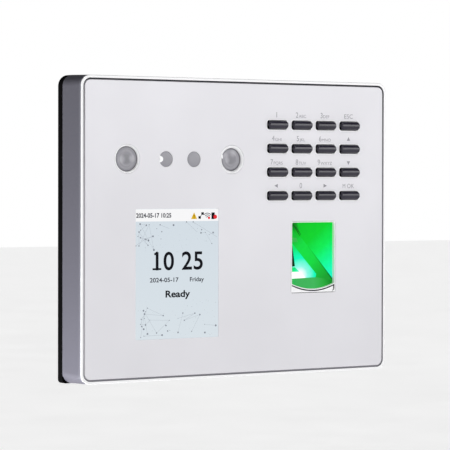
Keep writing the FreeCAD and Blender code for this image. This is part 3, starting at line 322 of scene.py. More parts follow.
def screen_glow(name, top, bottom=None):
    """A lit area of the display, under its cover glass: a faint pixel grid over a gradient."""
    finish = Finish("screen_" + name, base_color=0.001, roughness=0.12, specular_ior_level=0.03)
    centre_u, centre_v = middle("lcd_panel")
    high = point(centre_u, centre_v + SCREEN_HEIGHT / 2, 0)
    low = point(centre_u, centre_v - SCREEN_HEIGHT / 2, 0)
    blend = finish.ramp(finish.along(low, high), [(0.0, bottom or top), (1.0, top)])
    pixels = finish.mottle(0.18, 0.0, 0.04, detail=0.0)
    finish.set(emission_color=finish.mix(pixels, blend, (0.01, 0.012, 0.014, 1)),
               emission_strength=1.0)
    return finish.material


def glass_glow(name, start, end, stops):
    """A face of the finger prism, lit from inside. Its colours run along the line from start
    to end, or outwards from start where end is a distance."""
    finish = Finish(name, base_color=(0.002, 0.01, 0.004, 1), roughness=0.15,
                    specular_ior_level=0.03)
    spread = finish.along if isinstance(end, Vector) else finish.distance
    colour = finish.ramp(spread(start, end), stops)
    ripple = finish.mottle(2.2, 0.0, 0.10)
    finish.set(emission_color=finish.mix(ripple, colour, (0.0, 0.25, 0.05, 1)),
               emission_strength=1.0)
    return finish.material


def lens_coating(name, inner, outer, light, centres, painted_highlights):
    """A smoked optical pane: a darker middle and ring round each centre, and soft painted
    highlights in the colour light, given as (centre, reach in millimetres)."""
    finish = Finish(name, roughness=0.4, coat_weight=0.2, coat_roughness=0.08)
    colour = outer
    for centre in centres:
        near = finish.ramp(finish.distance(centre, LENS_RING_REACH * MM), [
            (0.0, 1), (0.3, 0.9), (0.5, 0.1), (0.7, 0), (0.78, 0.5), (0.88, 0.1), (1.0, 0)])
        colour = finish.mix(near, colour, inner)
    # Painted highlights: glare spots laid into the pane's colour, which is light.
    for centre, reach in painted_highlights:
        highlight_share = finish.ramp(finish.distance(centre, reach * MM),
                           [(0.0, 0.45), (0.4, 0.35), (1.0, 0)])
        colour = finish.mix(highlight_share, colour, light)
    finish.set(base_color=colour)
    finish.bump(finish.noise(3.0), 0.002)
    return finish.material


def circuit(name):
    """Green solder mask, with paler lines over it like a fine brick pattern."""
    finish = Finish(name, coat_weight=0.3, coat_roughness=0.2)
    turn = finish.node("Mapping", Vector=finish.place, Rotation=(math.pi / 2, 0, 0))
    tracks = finish.node("TexBrick", Vector=turn.outputs["Vector"], Scale=160, Mortar_Size=0.03,
                         Color1=(0.010, 0.085, 0.030, 1), Color2=(0.014, 0.110, 0.042, 1),
                         Mortar=(0.022, 0.160, 0.065, 1))
    finish.set(base_color=tracks.outputs["Color"], roughness=finish.mottle(1.0, 0.3, 0.45))
    finish.bump(tracks.outputs["Fac"], 0.02)
    return finish.material


# ---------------------------------------------------------------- mesh helpers

def add_piece(name, shape, materials, body=CASE, smooth_deg=35, shown_for=(), art=False):
    """Turn a bmesh into a piece that rides on a body, with smooth shading below an angle. Its
    faces are wound outwards or, for flat artwork, turned to the user."""
    if art:
        shape.normal_update()
        for face in shape.faces:
            if face.normal.y > 0:
                face.normal_flip()
    else:
        bmesh.ops.recalc_face_normals(shape, faces=shape.faces[:])
    mesh = bpy.data.meshes.new(name)
    shape.to_mesh(mesh)
    shape.free()
    piece = bpy.data.objects.new(name, mesh)
    bpy.context.scene.collection.objects.link(piece)
    for material in materials:
        mesh.materials.append(material)
    mesh.shade_smooth()
    mesh.set_sharp_from_angle(angle=math.radians(smooth_deg))
    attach(piece, body)
    if shown_for:
        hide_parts(*shown_for)


def add_art(name, shape, material):
    """Add a piece of flat artwork that faces the user and rides on the case."""
    add_piece(name, shape, [material], art=True)


def bridge(shape, loops, closed=True, caps=False, tags=None):
    """Join loops of points with quads. caps closes both ends, and tags gives each band a
    material index."""
    rings = [[shape.verts.new(spot) for spot in loop] for loop in loops]
    count = len(rings[0])
    for band, (first, second) in enumerate(zip(rings, rings[1:])):
        for index in range(count if closed else count - 1):
            following = (index + 1) % count
            face = shape.faces.new((first[index], first[following], second[following],
                                    second[index]))
            face.material_index = tags[band] if tags else 0
    if caps:
        shape.faces.new(rings[0][::-1])
        shape.faces.new(rings[-1])
    return rings


def lathe(shape, centre, profile, cap=True):
    """Turn a profile of (radius, level over the panel's face) about a line off the wall. cap
    closes its last ring."""
    turns = [2 * math.pi * step / TURN_STEPS for step in range(TURN_STEPS)]
    rings = bridge(shape, [
        [point(*around(centre, turn, radius), FRONT_LEVEL + level) for turn in turns]
        for radius, level in profile])
    if cap:
        shape.faces.new(rings[-1])


def text_mesh(body, size_mm, origin, level, width=1.0, weight=0.0, align="CENTER"):
    """Lettering as a flat mesh that faces the user, with its base line at origin."""
    curve = bpy.data.curves.new("lettering", "FONT")
    curve.body = body
    curve.size = size_mm * MM
    curve.align_x = align
    curve.offset = weight * MM
    curve.resolution_u = 6
    holder = bpy.data.objects.new("lettering", curve)
    mesh = bpy.data.meshes.new_from_object(holder)
    stand = Matrix.Rotation(math.pi / 2, 4, "X") @ Matrix.Diagonal((width, 1, 1, 1))
    mesh.transform(Matrix.Translation(point(*origin, level)) @ stand)
    bpy.data.objects.remove(holder)
    bpy.data.curves.remove(curve)
    return mesh


def absorb(shape, mesh):
    """Add a mesh to a bmesh and drop it."""
    shape.from_mesh(mesh)
    bpy.data.meshes.remove(mesh)


def flat(shape, corners, level):
    """A flat polygon of (u, v) corners that faces the user."""
    shape.faces.new([shape.verts.new(point(u, v, level)) for u, v in corners])


# ---------------------------------------------------------------- the keys

def key_end(across):
    """How far a key's end draws back at a distance across from its middle line: the end is
    nearly straight in the middle and turns round at both corners."""
    share = min(1.0, abs(across) / (KEY_WIDTH / 2))
    return KEY_BOW * (1 - math.sqrt(1 - share ** 2.2))


def key_section(half):
    """Crowned section of a key as (across, level), from its lower side to its upper one. The
    crown is a little squarer than a half round."""
    skirt = FRONT_LEVEL - KEY_SKIRT
    arc = []
    for step in range(KEY_ARC_STEPS + 1):
        share = math.sin(math.pi / 2 * (2 * step / KEY_ARC_STEPS - 1))
        lift = (1 - abs(share) ** KEY_CROWN) ** (1 / KEY_CROWN)
        arc.append((half * share, FRONT_LEVEL + KEY_PROUD * lift))
    below = [(-half, skirt), (-half, FRONT_LEVEL - 1.0)]
    above = [(half, FRONT_LEVEL - 1.0), (half, skirt)]
    return below + arc + above


def key_loops(centre_u, centre_v):
    """Cross loops of a bar key from its left end to its right one. The end loops shrink
    towards the middle line along a quarter round, so that every end edge is soft."""
    half = KEY_WIDTH / 2
    section = key_section(half)

    def loop(side, inward, shrink):
        ring = []
        for across, level in section:
            reach = KEY_LENGTH / 2 - key_end(across) - inward
            narrow = across * (1 - shrink / half)
            proud = max(0.0, level - FRONT_LEVEL)
            lowered = level - shrink * proud / KEY_PROUD
            ring.append(point(centre_u + side * reach, centre_v + narrow, lowered))
        return ring

    rounding = []
    for step in range(KEY_EDGE_STEPS + 1):
        turn = math.pi / 2 * step / KEY_EDGE_STEPS
        rounding.append((KEY_EDGE * (1 - math.cos(turn)), KEY_EDGE * (1 - math.sin(turn))))
    flat_part = [(0.0, KEY_EDGE + (half - KEY_EDGE) * share) for share in (0.3, 0.6, 0.85)]
    left = [loop(-1, *step) for step in flat_part[::-1] + rounding]
    return left + [loop(1, *step) for step in rounding[::-1] + flat_part]


def build_keys(material):
    for name, _, _ in KEYS:
        node = "key_" + name
        shape = bmesh.new()
        bridge(shape, key_loops(*middle(node)), closed=False, caps=True)
        open_edges = [edge for edge in shape.edges if edge.is_boundary]
        bmesh.ops.holes_fill(shape, edges=open_edges)
        add_flange(shape, node)
        add_piece(node + "_cap", shape, [material], body=node, shown_for=(node,),
                  smooth_deg=50)


def add_flange(shape, node):
    """The retaining flange and stem under a key's cap."""
    low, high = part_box(node)
    base = -high.y / MM
    for foot, top, half_u, half_v, corner in (
        (base + 0.8, base + 1.6, (high.x - low.x) / 2 / MM, (high.z - low.z) / 2 / MM, 0.8),
        (base, base + 0.8, 1.7, 1.7, 1.69),
    ):
        outline = rounded_outline(half_u, half_v, corner, 6)
        bridge(shape, [ring(middle(node), outline, level) for level in (foot, top)], caps=True)


def rounded_outline(half_u, half_v, corner, steps):
    """The outline of a round-cornered rectangle about the origin, anticlockwise."""
    spots = []
    for index, (side_u, side_v) in enumerate(((1, 1), (-1, 1), (-1, -1), (1, -1))):
        centre = (side_u * (half_u - corner), side_v * (half_v - corner))
        for step in range(steps + 1):
            spots.append(around(centre, math.pi / 2 * (index + step / steps), corner))
    return spots


def build_key_lips(material):
    """A slim lip in the panel round each key's slot, painted bright white as a highlight along the
    slot's edge.
    """
    profile = ((0.0, -0.5), (0.0, 0.02), (0.06, 0.05), (0.30, 0.05), (0.42, 0.01))
    shape = bmesh.new()
    for name, _, _ in KEYS:
        bridge(shape, [
            ring(middle("key_" + name),
                 rounded_outline(KEY_LENGTH / 2 + KEY_PLAY + grow,
                                 KEY_WIDTH / 2 + KEY_PLAY + grow, 1.2 + grow, 6),
                 FRONT_LEVEL + lift)
            for grow, lift in profile])
    add_piece("key_lips", shape, [material], smooth_deg=60)


# ---------------------------------------------------------------- printed legends

def arrow(shape, centre, direction, level):
    """A small solid triangle that points up, down, left or right."""
    turn = {"right": 0, "up": 90, "left": 180, "down": 270}[direction]
    flat(shape, [around(centre, math.radians(turn + angle), 1.2, 1.1)
                 for angle in (0, 125, 235)], level)


def set_line(shape, parts, centre_u, base_v, level, gap):
    """Set words of (text, size, width) side by side, centred on centre_u."""
    words = []
    span = -gap
    for body, size, width in parts:
        mesh = text_mesh(body, size, (0, 0), level, width=width, align="LEFT")
        spots = [vertex.co.x / MM for vertex in mesh.vertices]
        left, length = min(spots), max(spots) - min(spots)
        words.append((mesh, left, length))
        span += length + gap
    start = centre_u - span / 2
    for mesh, left, length in words:
        mesh.transform(Matrix.Translation(point(start - left, base_v, 0)))
        absorb(shape, mesh)
        start += length + gap


def build_legends(material):
    """The pale legends printed above the keys."""
    level = FRONT_LEVEL + ART_LIFT
    shape = bmesh.new()
    for name, main, small in KEYS:
        centre_u, centre_v = middle("key_" + name)
        centre_u -= 0.35
        base_v = centre_v + 3.45
        gap = 0.35
        if not main:
            arrow(shape, (centre_u, base_v + 1.1), name, level)
            continue
        if small == "OK":
            words = [(main, 2.9, 0.8), (small, 2.9, 0.95)]
            gap = 1.1
        elif len(main) > 1:
            words = [(main, 2.9, 1.1)]
        else:
            words = [(main, 3.5, 0.88), (small, 2.0, 1.08)]
        set_line(shape, [word for word in words if word[0]], centre_u, base_v, level, gap)
    add_art("key_legends", shape, material)


# ---------------------------------------------------------------- the display's picture

def on_screen(share_u, share_v):
    """A place on the screen: shares run from 0 to 1, to the right and down."""
    centre_u, centre_v = middle("lcd_panel")
    return (centre_u + (share_u - 0.5) * SCREEN_WIDTH,
            centre_v + SCREEN_ABOVE_MODULE + (0.5 - share_v) * SCREEN_HEIGHT)


def screen_rectangle(shape, left, top, right, bottom, level):
    corners = [on_screen(left, top), on_screen(right, top), on_screen(right, bottom),
               on_screen(left, bottom)]
    flat(shape, corners, level)


def dot(shape, centre, radius, level, sides=14):
    flat(shape, [around(centre, 2 * math.pi * side / sides, radius) for side in range(sides)],
         level)


def stroke(shape, start, end, width, level):
    """A thin straight line."""
    along_u = end[0] - start[0]
    along_v = end[1] - start[1]
    length = math.hypot(along_u, along_v)
    side = (-along_v / length * width / 2, along_u / length * width / 2)
    corners = [(start[0] + side[0], start[1] + side[1]), (start[0] - side[0], start[1] - side[1]),
               (end[0] - side[0], end[1] - side[1]), (end[0] + side[0], end[1] + side[1])]
    flat(shape, corners, level)


def build_screen():
    """The picture: a status bar, a field of linked dots, and a generic clock face."""
    surface = -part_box("lcd_panel")[0].y / MM
    low, high = surface + ART_LIFT, surface + 0.02
    frame["nodes"]["lcd_panel"].data.materials[0] = screen_glow(
        "ground", (213, 223, 231), (218, 227, 233))
    ink = screen_glow("ink", (14, 16, 22), (16, 18, 24))
    soft_ink = screen_glow("soft_ink", (52, 54, 64), (56, 58, 68))
    dots = screen_glow("dots", (128, 134, 144), (132, 138, 148))
    lines = screen_glow("lines", (172, 180, 190), (176, 184, 192))
    bar = screen_glow("bar", (249, 249, 250))
    amber = screen_glow("amber", (226, 182, 30))
    red = screen_glow("red", (232, 50, 56))

    shape = bmesh.new()
    screen_rectangle(shape, 0.0, 0.0, 1.0, 0.094, low)
    add_art("screen_status_bar", shape, bar)
    build_network(low, dots, lines)

    shape = bmesh.new()
    for share_u, digit in ((0.255, "1"), (0.395, "0"), (0.615, "2"), (0.755, "5")):
        absorb(shape, text_mesh(digit, 11.4, on_screen(share_u, 0.468), high, width=1.02,
                                weight=0.16))
    stroke(shape, on_screen(0.222, 0.349), on_screen(0.262, 0.330), 0.95, high)
    stroke(shape, on_screen(0.200, 0.461), on_screen(0.305, 0.461), 0.85, high)
    add_art("screen_clock", shape, ink)

    shape = bmesh.new()
    for share_u, share_v, words, width, weight in (
        (0.34, 0.562, "2024-05-17", 1.17, 0.05), (0.735, 0.562, "Friday", 1.12, 0.05),
        (0.215, 0.064, "2024-05-17 10:25", 0.93, 0.08),
    ):
        absorb(shape, text_mesh(words, 2.75, on_screen(share_u, share_v), high, width=width,
                                weight=weight))
    add_art("screen_small_text", shape, soft_ink)
    shape = bmesh.new()
    absorb(shape, text_mesh("Ready", 4.2, on_screen(0.5, 0.680), high, width=1.25, weight=0.12))
    add_art("screen_message", shape, ink)
    build_status_icons(high, ink, soft_ink, amber, red)


def build_network(level, dots, lines):
    """Small dots joined by hairlines, gathered in the screen's corners."""
    rng = random.Random(11)
    clusters = (((0.02, 0.22), (0.11, 0.32), 14), ((0.25, 0.95), (0.11, 0.30), 10),
                ((0.02, 0.42), (0.74, 0.985), 22), ((0.5, 0.98), (0.80, 0.97), 10))
    dot_shape = bmesh.new()
    line_shape = bmesh.new()
    for (left, right), (top, bottom), count in clusters:
        spots = [(rng.uniform(left, right), rng.uniform(top, bottom)) for _ in range(count)]
        for share_u, share_v in spots:
            dot(dot_shape, on_screen(share_u, share_v), rng.uniform(0.15, 0.46), level + 0.004)
        for first, second in zip(spots, spots[1:]):
            if math.dist(first, second) < 0.24:
                stroke(line_shape, on_screen(*first), on_screen(*second), 0.10, level)
    for start, end in (((0.61, 0.10), (0.74, 0.18)), ((0.69, 0.10), (0.985, 0.22)),
                       ((0.29, 0.12), (0.40, 0.15)), ((0.0, 0.28), (0.13, 0.22))):
        stroke(line_shape, on_screen(*start), on_screen(*end), 0.12, level)
        dot(dot_shape, on_screen(*start), 0.3, level + 0.004)
    for _ in range(90):
        share_u = rng.uniform(0.02, 0.98)
        share_v = rng.choice((rng.uniform(0.11, 0.34), rng.uniform(0.70, 0.98)))
        dot(dot_shape, on_screen(share_u, share_v), rng.uniform(0.06, 0.12), level + 0.004,
            sides=6)
    add_art("screen_dots", dot_shape, dots)
    add_art("screen_lines", line_shape, lines)


def build_status_icons(level, ink, soft_ink, amber, red):
    """Generic status icons: a warning triangle, a link, a signal fan and a store."""
    above = level + 0.006
    shape = bmesh.new()
    flat(shape, [on_screen(0.665, 0.078), on_screen(0.738, 0.078),
                 on_screen(0.7015, 0.026)], level)
    add_art("icon_warning", shape, amber)
    shape = bmesh.new()
    stroke(shape, on_screen(0.7015, 0.044), on_screen(0.7015, 0.062), 0.35, above)
    dot(shape, on_screen(0.7015, 0.070), 0.22, above)
    screen_rectangle(shape, 0.755, 0.056, 0.785, 0.076, level)
    screen_rectangle(shape, 0.79, 0.026, 0.822, 0.046, level)
    stroke(shape, on_screen(0.77, 0.066), on_screen(0.806, 0.036), 0.25, level)
    screen_rectangle(shape, 0.915, 0.028, 0.955, 0.080, level)
    add_art("icon_links", shape, ink)
    shape = bmesh.new()
    for radius in (1.0, 1.8, 2.6):
        arc = [around(on_screen(0.865, 0.078), math.radians(45 + 15 * step), radius)
               for step in range(7)]
        for start, end in zip(arc, arc[1:]):
            stroke(shape, start, end, 0.32, level)
    add_art("icon_signal", shape, soft_ink)
    shape = bmesh.new()
    dot(shape, on_screen(0.885, 0.070), 0.6, above)
    dot(shape, on_screen(0.962, 0.062), 0.95, above)
    add_art("icon_alerts", shape, red)


# ---------------------------------------------------------------- the fingerprint window

def finger_outline(grow, bow, corner, low):
    """An outline about the window's middle: straight sides, rounded upper corners, and a
    bottom edge that sags by bow below its two shoulders at the height low. Every outline has
    the same number of points."""
    half = FINGER_WIDTH / 2 - BEZEL_SIDE + grow
    top = FINGER_HEIGHT / 2 - BEZEL_SIDE + grow
    corner_steps, side_steps, sag_steps = 6, 12, 28
    spots = []
    for step in range(side_steps):
        spots.append((half, low + (top - corner - low) * step / side_steps))
    for side, start in ((1, 0), (-1, math.pi / 2)):
        for step in range(corner_steps + 1):
            turn = start + math.pi / 2 * step / corner_steps
            spots.append(around((side * (half - corner), top - corner), turn, corner))
    for step in range(1, side_steps + 1):
        spots.append((-half, top - corner + (low - top + corner) * step / side_steps))
    for step in range(1, sag_steps):
        across = 2 * step / sag_steps - 1
        spots.append((half * across, low - bow * (1 - across * across)))
    return spots


def build_bezel(white, groove, shadow_strip):
    """The white frame of the fingerprint window. Its bottom edge bows under the glass, with a
    bright bead and a fine groove that follow the bow, above a flat lip. The groove and the
    outline round the frame's outer edge carry painted shade. A short strip of painted shadow
    hangs from the groove's right end."""
    centre_u, centre_v = middle("finger_bezel")
    face = FRONT_LEVEL - 0.02
    base = PANEL_BACK + 0.05
    shoulder = -FINGER_HEIGHT / 2 + BEZEL_LIP
    bottom = -FINGER_HEIGHT / 2 + 0.1
    inside = (
        (0.0, 0.0, 0.0, base), (0.0, 0.0, 0.0, face - 0.18), (0.02, 0.02, 0.05, face - 0.02),
        (0.05, 0.03, 0.15, face + 0.03), (0.08, 0.05, 0.42, face + 0.01),
        (0.085, 0.05, 0.45, face - 0.5), (0.09, 0.08, 0.98, face - 0.5), (0.095, 0.08, 1.02, face),
    )
    rows = [(grow, BEZEL_BOW + bow, 0.80, shoulder - drop, level)
            for grow, bow, drop, level in inside]
    rows += [(BEZEL_SIDE - 0.10, 0.0, 0.45, bottom + 0.16, face + 0.02),
             (BEZEL_SIDE - 0.02, 0.0, 0.5, bottom + 0.04, face - 0.08),
             (BEZEL_SIDE, 0.0, 0.5, bottom, base)]
    loops = []
    for index, (grow, bow, corner, low, level) in enumerate(rows):
        sunk = index in (5, 6)      # the groove's floor, which runs along the bow only
        loops.append([
            point(centre_u + u, centre_v + v, face if sunk and v > shoulder else level)
            for u, v in finger_outline(grow, bow, corner, low)
        ])
    shape = bmesh.new()
    # Bands tagged 1 take painted shade: the groove's walls and floor, and the outer edge down to
    # the panel.
    bridge(shape, loops, tags=[0, 0, 0, 0, 1, 1, 1, 0, 0, 1])
    add_piece("finger_frame", shape, [white, groove], shown_for=("finger_bezel",),
              smooth_deg=40)
    # A flat dark strip of painted shadow, where the frame's right wall falls into shade below the
    # bow.
    edge = FINGER_WIDTH / 2 - PAINTED_SHADOW_INSET
    outer = [(edge + 0.1, bottom + 3.4)]
    inner = [(edge - 0.5, bottom + 3.1)]
    for step in range(9):
        turn = -math.radians(75) * step / 8
        for line, radius in ((outer, PAINTED_SHADOW_BEND), (inner, 0.9 + 0.04 * step)):
            line.append(around((edge + 0.1 - PAINTED_SHADOW_BEND, bottom + 1.9), turn, radius))
    shape = bmesh.new()
    flat(shape, [(centre_u + u, centre_v + v) for u, v in outer + inner[::-1]], face + 0.06)
    add_art("finger_frame_painted_shadow", shape, shadow_strip)


def build_finger_glass():
    """The lit prism behind the fingerprint window: a bright back face, a diagonal beam, a lamp
    glare in the lower left, and a ledge along the bottom. Points are (u, v, level) from the
    window's middle, and the deeper ones lie further right."""
    centre_u, centre_v = middle("finger_bezel")

    def spot(u, v, level=FRONT_LEVEL):
        return point(centre_u + u + (FRONT_LEVEL - level) * PRISM_LEAN, centre_v + v, level)

    left, right, top, bottom = -12.6, 12.6, 17.0, -16.2
    beam_top = [(left, 14.2, 18.7), (-7.1, 9.3, 18.4), (0.3, 1.5, 17.9), (4.5, -3.4, 18.0),
                (11.3, -11.0, 18.3), (right, -12.6, 18.3)]
    beam_low = [(left, 7.2, 18.7), (-5.0, -0.9, 18.2), (1.8, -8.0, 17.6), (1.5, -9.6, 17.3)]
    ledge_top = [(left, -10.0, 17.6), (1.5, -9.6, 17.5), (6.5, -10.3, 17.8), (11.3, -11.4, 18.3),
                 (right, -12.9, 18.3)]
    ledge_low = [(left, bottom, 18.7), (right, bottom, 18.7)]
    shape = bmesh.new()

    def face(corners, tag):
        made = shape.faces.new([shape.verts.new(spot(*corner)) for corner in corners])
        made.material_index = tag

    face([(left, top, 18.7), (right, top, 18.7), *beam_top[::-1]], 0)
    face([*beam_top[:5], *ledge_top[3:0:-1], beam_low[2], beam_low[1], beam_low[0]], 1)
    face([beam_low[0], beam_low[1], beam_low[2], beam_low[3], ledge_top[0]], 2)
    face([*ledge_top, ledge_low[1], ledge_low[0]], 3)
    face([beam_top[4], beam_top[5], ledge_top[4], ledge_top[3]], 4)
    bmesh.ops.remove_doubles(shape, verts=shape.verts[:], dist=0.01 * MM)
    bmesh.ops.triangulate(shape, faces=shape.faces[:])

    back = glass_glow("prism_back", spot(-7, 14), spot(11, -9), [
        (0.0, (13, 200, 36)), (0.3, (14, 214, 44)), (0.55, (14, 240, 88)),
        (0.8, (20, 255, 160)), (1.0, (30, 255, 205))])
    beam = glass_glow("prism_beam", spot(-10, 8), spot(8, -10), [
        (0.0, (22, 190, 52)), (0.2, (20, 224, 66)), (0.55, (20, 222, 66)),
        (0.8, (24, 190, 54)), (1.0, (26, 160, 46))])
    glare = glass_glow("prism_glare", spot(-7.4, -8.6, 17.6), 13 * MM, [
        (0.0, 1.2), (0.14, (1.0, 1.06, 1.06, 1)), (0.32, (150, 255, 238)),
        (0.62, (20, 255, 196)), (1.0, (14, 232, 110))])
    ledge = glass_glow("prism_ledge", spot(-12, -12), spot(11, -12), [
        (0.0, (30, 190, 80)), (0.2, (60, 176, 88)), (0.6, (62, 182, 90)),
        (0.85, (34, 170, 52)), (1.0, (18, 140, 36))])
    corner = glass_glow("prism_corner", spot(11, -11), spot(12, -13), [
        (0.0, (20, 90, 40)), (1.0, (10, 40, 20))])
    add_piece("finger_prism_glass", shape, [back, beam, glare, ledge, corner],
              shown_for=("finger_prism",), smooth_deg=5)
    build_prism_marks(spot)


def strip(shape, spot, start, end, width, end_width):
    """A thin tapering strip between two points of the prism."""
    run = Vector((end[0] - start[0], end[1] - start[1]))
    side = Vector((-run.y, run.x)).normalized() / 2
    corners = []
    for place, offset in ((start, side * width), (start, -side * width),
                          (end, -side * end_width), (end, side * end_width)):
        corners.append(spot(place[0] + offset.x, place[1] + offset.y, place[2]))
    shape.faces.new([shape.verts.new(corner) for corner in corners])


def build_prism_marks(spot):
    """Painted reflections and shade inside the prism: the dark corner with its two streaks, a
    pale haze patch and a mint patch, the shaded edge of the beam, the black sliver and the white
    lamp bar at the left."""
    dark = glass_glow("prism_dark", spot(-12.4, 15.8, 18.8), 7.5 * MM, [
        (0.0, (8, 84, 14)), (0.3, (10, 136, 22)), (0.65, (13, 180, 32)), (1.0, (13, 200, 36))])
    black = glass_glow("prism_black", spot(-12, 6), spot(-10, -5), [
        (0.0, (6, 66, 12)), (0.4, (4, 26, 4)), (1.0, (4, 40, 6))])
    shade = glass_glow("prism_shade", spot(-7, 9), spot(11, -11), [
        (0.0, (16, 196, 44)), (0.4, (14, 176, 44)), (0.8, (14, 136, 44)), (1.0, (10, 84, 36))])
    haze = glass_glow("prism_haze", spot(-12, 9), spot(-8, 6), [
        (0.0, (84, 186, 96)), (0.5, (58, 186, 78)), (1.0, (36, 200, 66))])
    flare = glass_glow("prism_flare", spot(-12.4, -8), spot(-3.6, -8), [
        (0.0, 1.25), (0.9, 1.25), (1.0, (1.0, 1.1, 1.1, 1))])
    mint = glass_glow("prism_mint", spot(-12.4, -4), spot(-8.0, -7), [
        (0.0, (8, 200, 90)), (0.6, (14, 236, 128)), (1.0, (60, 255, 190))])
    marks = (
        ("dark_corner", dark, [(-12.6, 16.9, 18.8), (-9.6, 16.9, 18.8), (-6.9, 9.6, 18.75),
                               (-8.2, 8.9, 18.75), (-12.6, 13.6, 18.8)]),
        ("haze_patch", haze, [(-12.6, 9.2, 18.75), (-9.6, 8.8, 18.75), (-8.4, 6.9, 18.7),
                              (-12.6, 6.9, 18.75)]),
        ("black_sliver", black, [(-12.4, 5.2, 18.8), (-11.7, 5.0, 18.8), (-10.3, -4.0, 18.8),
                                 (-10.6, -4.3, 18.8), (-12.4, -4.3, 18.8)]),
        ("mint_patch", mint, [(-12.6, -4.7, 18.6), (-10.2, -4.7, 18.6), (-7.8, -6.8, 18.5),
                              (-12.6, -6.8, 18.6)]),
        ("lamp_bar", flare, [(-12.6, -6.8, 18.7), (-7.6, -6.8, 18.7), (-4.0, -9.7, 18.6),
                             (-12.6, -9.9, 18.6)]),
    )
    for name, material, corners in marks:
        shape = bmesh.new()
        shape.faces.new([shape.verts.new(spot(*corner)) for corner in corners])
        add_art("prism_" + name, shape, material)
    strips = (
        ("streaks", black, (((-11.2, 15.0, 18.85), (-7.6, 9.9, 18.85), 0.5, 0.3),
                            ((-9.9, 14.1, 18.85), (-7.0, 10.3, 18.85), 0.4, 0.2))),
        ("beam_edge", shade, (((-3.0, 5.0, 18.6), (4.5, -3.3, 18.55), 0.1, 0.35),
                              ((4.5, -3.3, 18.55), (11.3, -11.0, 18.55), 0.35, 0.6))),
    )
    for name, material, runs in strips:
        shape = bmesh.new()
        for run in runs:
            strip(shape, spot, *run)
        add_art("prism_" + name, shape, material)


# ---------------------------------------------------------------- the optical windows

def disc_pair(node):
    """The radius and the two middles of a node that holds one disc at each of its ends."""
    low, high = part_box(node)
    radius = (high.z - low.z) / 2 / MM
    centre_v = (low.z + high.z) / 2 / MM
    return radius, (low.x / MM + radius, centre_v), (high.x / MM - radius, centre_v)


def build_windows(white, dark, panes):
    """The camera windows as turned rings over recessed lenses, and the infrared covers."""
    radius, left, right = disc_pair("lens_rings")
    bore = radius - RING_WALL
    rings, seats, lenses, covers = (bmesh.new() for _ in range(4))
    for centre, slant, lens_shift in ((left, 0.30, 0.0), (right, 0.7, -0.2)):
        foot = bore - slant
        lathe(rings, centre, [
            (radius, RING_BACK), (radius, -0.16), (radius - 0.04, -0.10), (radius - 0.10, 0.0),
            (radius - 0.18, 0.03), (bore + 0.06, 0.03), (bore, -0.02), (foot + 0.04, -0.62),
            (foot, -0.70), (foot, RING_BACK), (radius, RING_BACK)], cap=False)
        lens_centre = (centre[0] + lens_shift, centre[1])
        rim = foot - 0.02 + lens_shift * 0.4
        lathe(seats, lens_centre, [
            (rim, LENS_BACK), (rim, -0.74), (rim - 0.06, -0.70), (rim - 0.26, -0.70),
            (rim - 0.32, -0.80), (rim - 0.32, LENS_BACK)], cap=False)
        glass = rim - 0.33
        steps = ((0.86, -0.74), (0.84, -0.77), (0.70, -0.75), (0.66, -0.69), (0.60, -0.67),
                 (0.57, -0.71), (0.40, -0.68), (0.2, -0.66), (0.05, -0.655))
        lathe(lenses, lens_centre, [
            (glass, LENS_BACK), (glass, -0.84), (glass - 0.15, -0.78),
            *((glass * share, level) for share, level in steps)])
    add_piece("window_rings", rings, [white], shown_for=("lens_rings",),
              smooth_deg=50)
    add_piece("window_seats", seats, [dark])
    add_piece("window_lenses", lenses, [panes], shown_for=("camera_panes",),
              smooth_deg=50)

    radius, first, second = disc_pair("infrared_covers")
    for centre in (first, second):
        lathe(covers, centre, [
            (radius, RING_BACK), (radius, -0.20), (radius - 0.05, -0.12), (radius - 0.15, -0.08),
            (radius * 0.5, -0.06), (radius * 0.05, -0.05)])
    add_piece("infrared_discs", covers, [panes],
              shown_for=("infrared_covers",))
    build_painted_glints(white, right, first)


def build_painted_glints(white, window, cover):
    """Two small painted highlights: a half-moon of glare in the first infrared cover, and a glint
    on the left edge of the right camera window."""
    shape = bmesh.new()
    flat(shape, [around((cover[0] - 3.4, cover[1]), math.pi * step / 16, 1.9, 1.5)
                 for step in range(-8, 9)], FRONT_LEVEL + 0.005)
    flat(shape, [around((window[0] - 5.3, window[1] + 1.3), math.pi * step / 8, 0.35, 1.0)
                 for step in range(16)], FRONT_LEVEL + 0.04)
    add_art("painted_glints", shape, white)


# ---------------------------------------------------------------- small parts at the edges

def build_gap_gasket(material):
    """The grey foam in the groove between the rim and the panel, with painted shade towards the
    top.
    """
    half_u = (PANEL_HIGH.x - PANEL_LOW.x) / 2 / MM
    half_v = (PANEL_HIGH.z - PANEL_LOW.z) / 2 / MM
    foot, shoulder, top = PANEL_BACK - 0.1, FRONT_LEVEL - 0.62, FRONT_LEVEL - 0.55
    profile = ((0.02, foot), (0.02, shoulder), (0.12, top), (0.68, top), (0.78, shoulder),
               (0.78, foot))
    shape = bmesh.new()
    bridge(shape, [
        ring((0, 0), rounded_outline(half_u + grow, half_v + grow, PANEL_CORNER + grow, 10), level)
        for grow, level in profile])
    add_piece("panel_gasket", shape, [material])


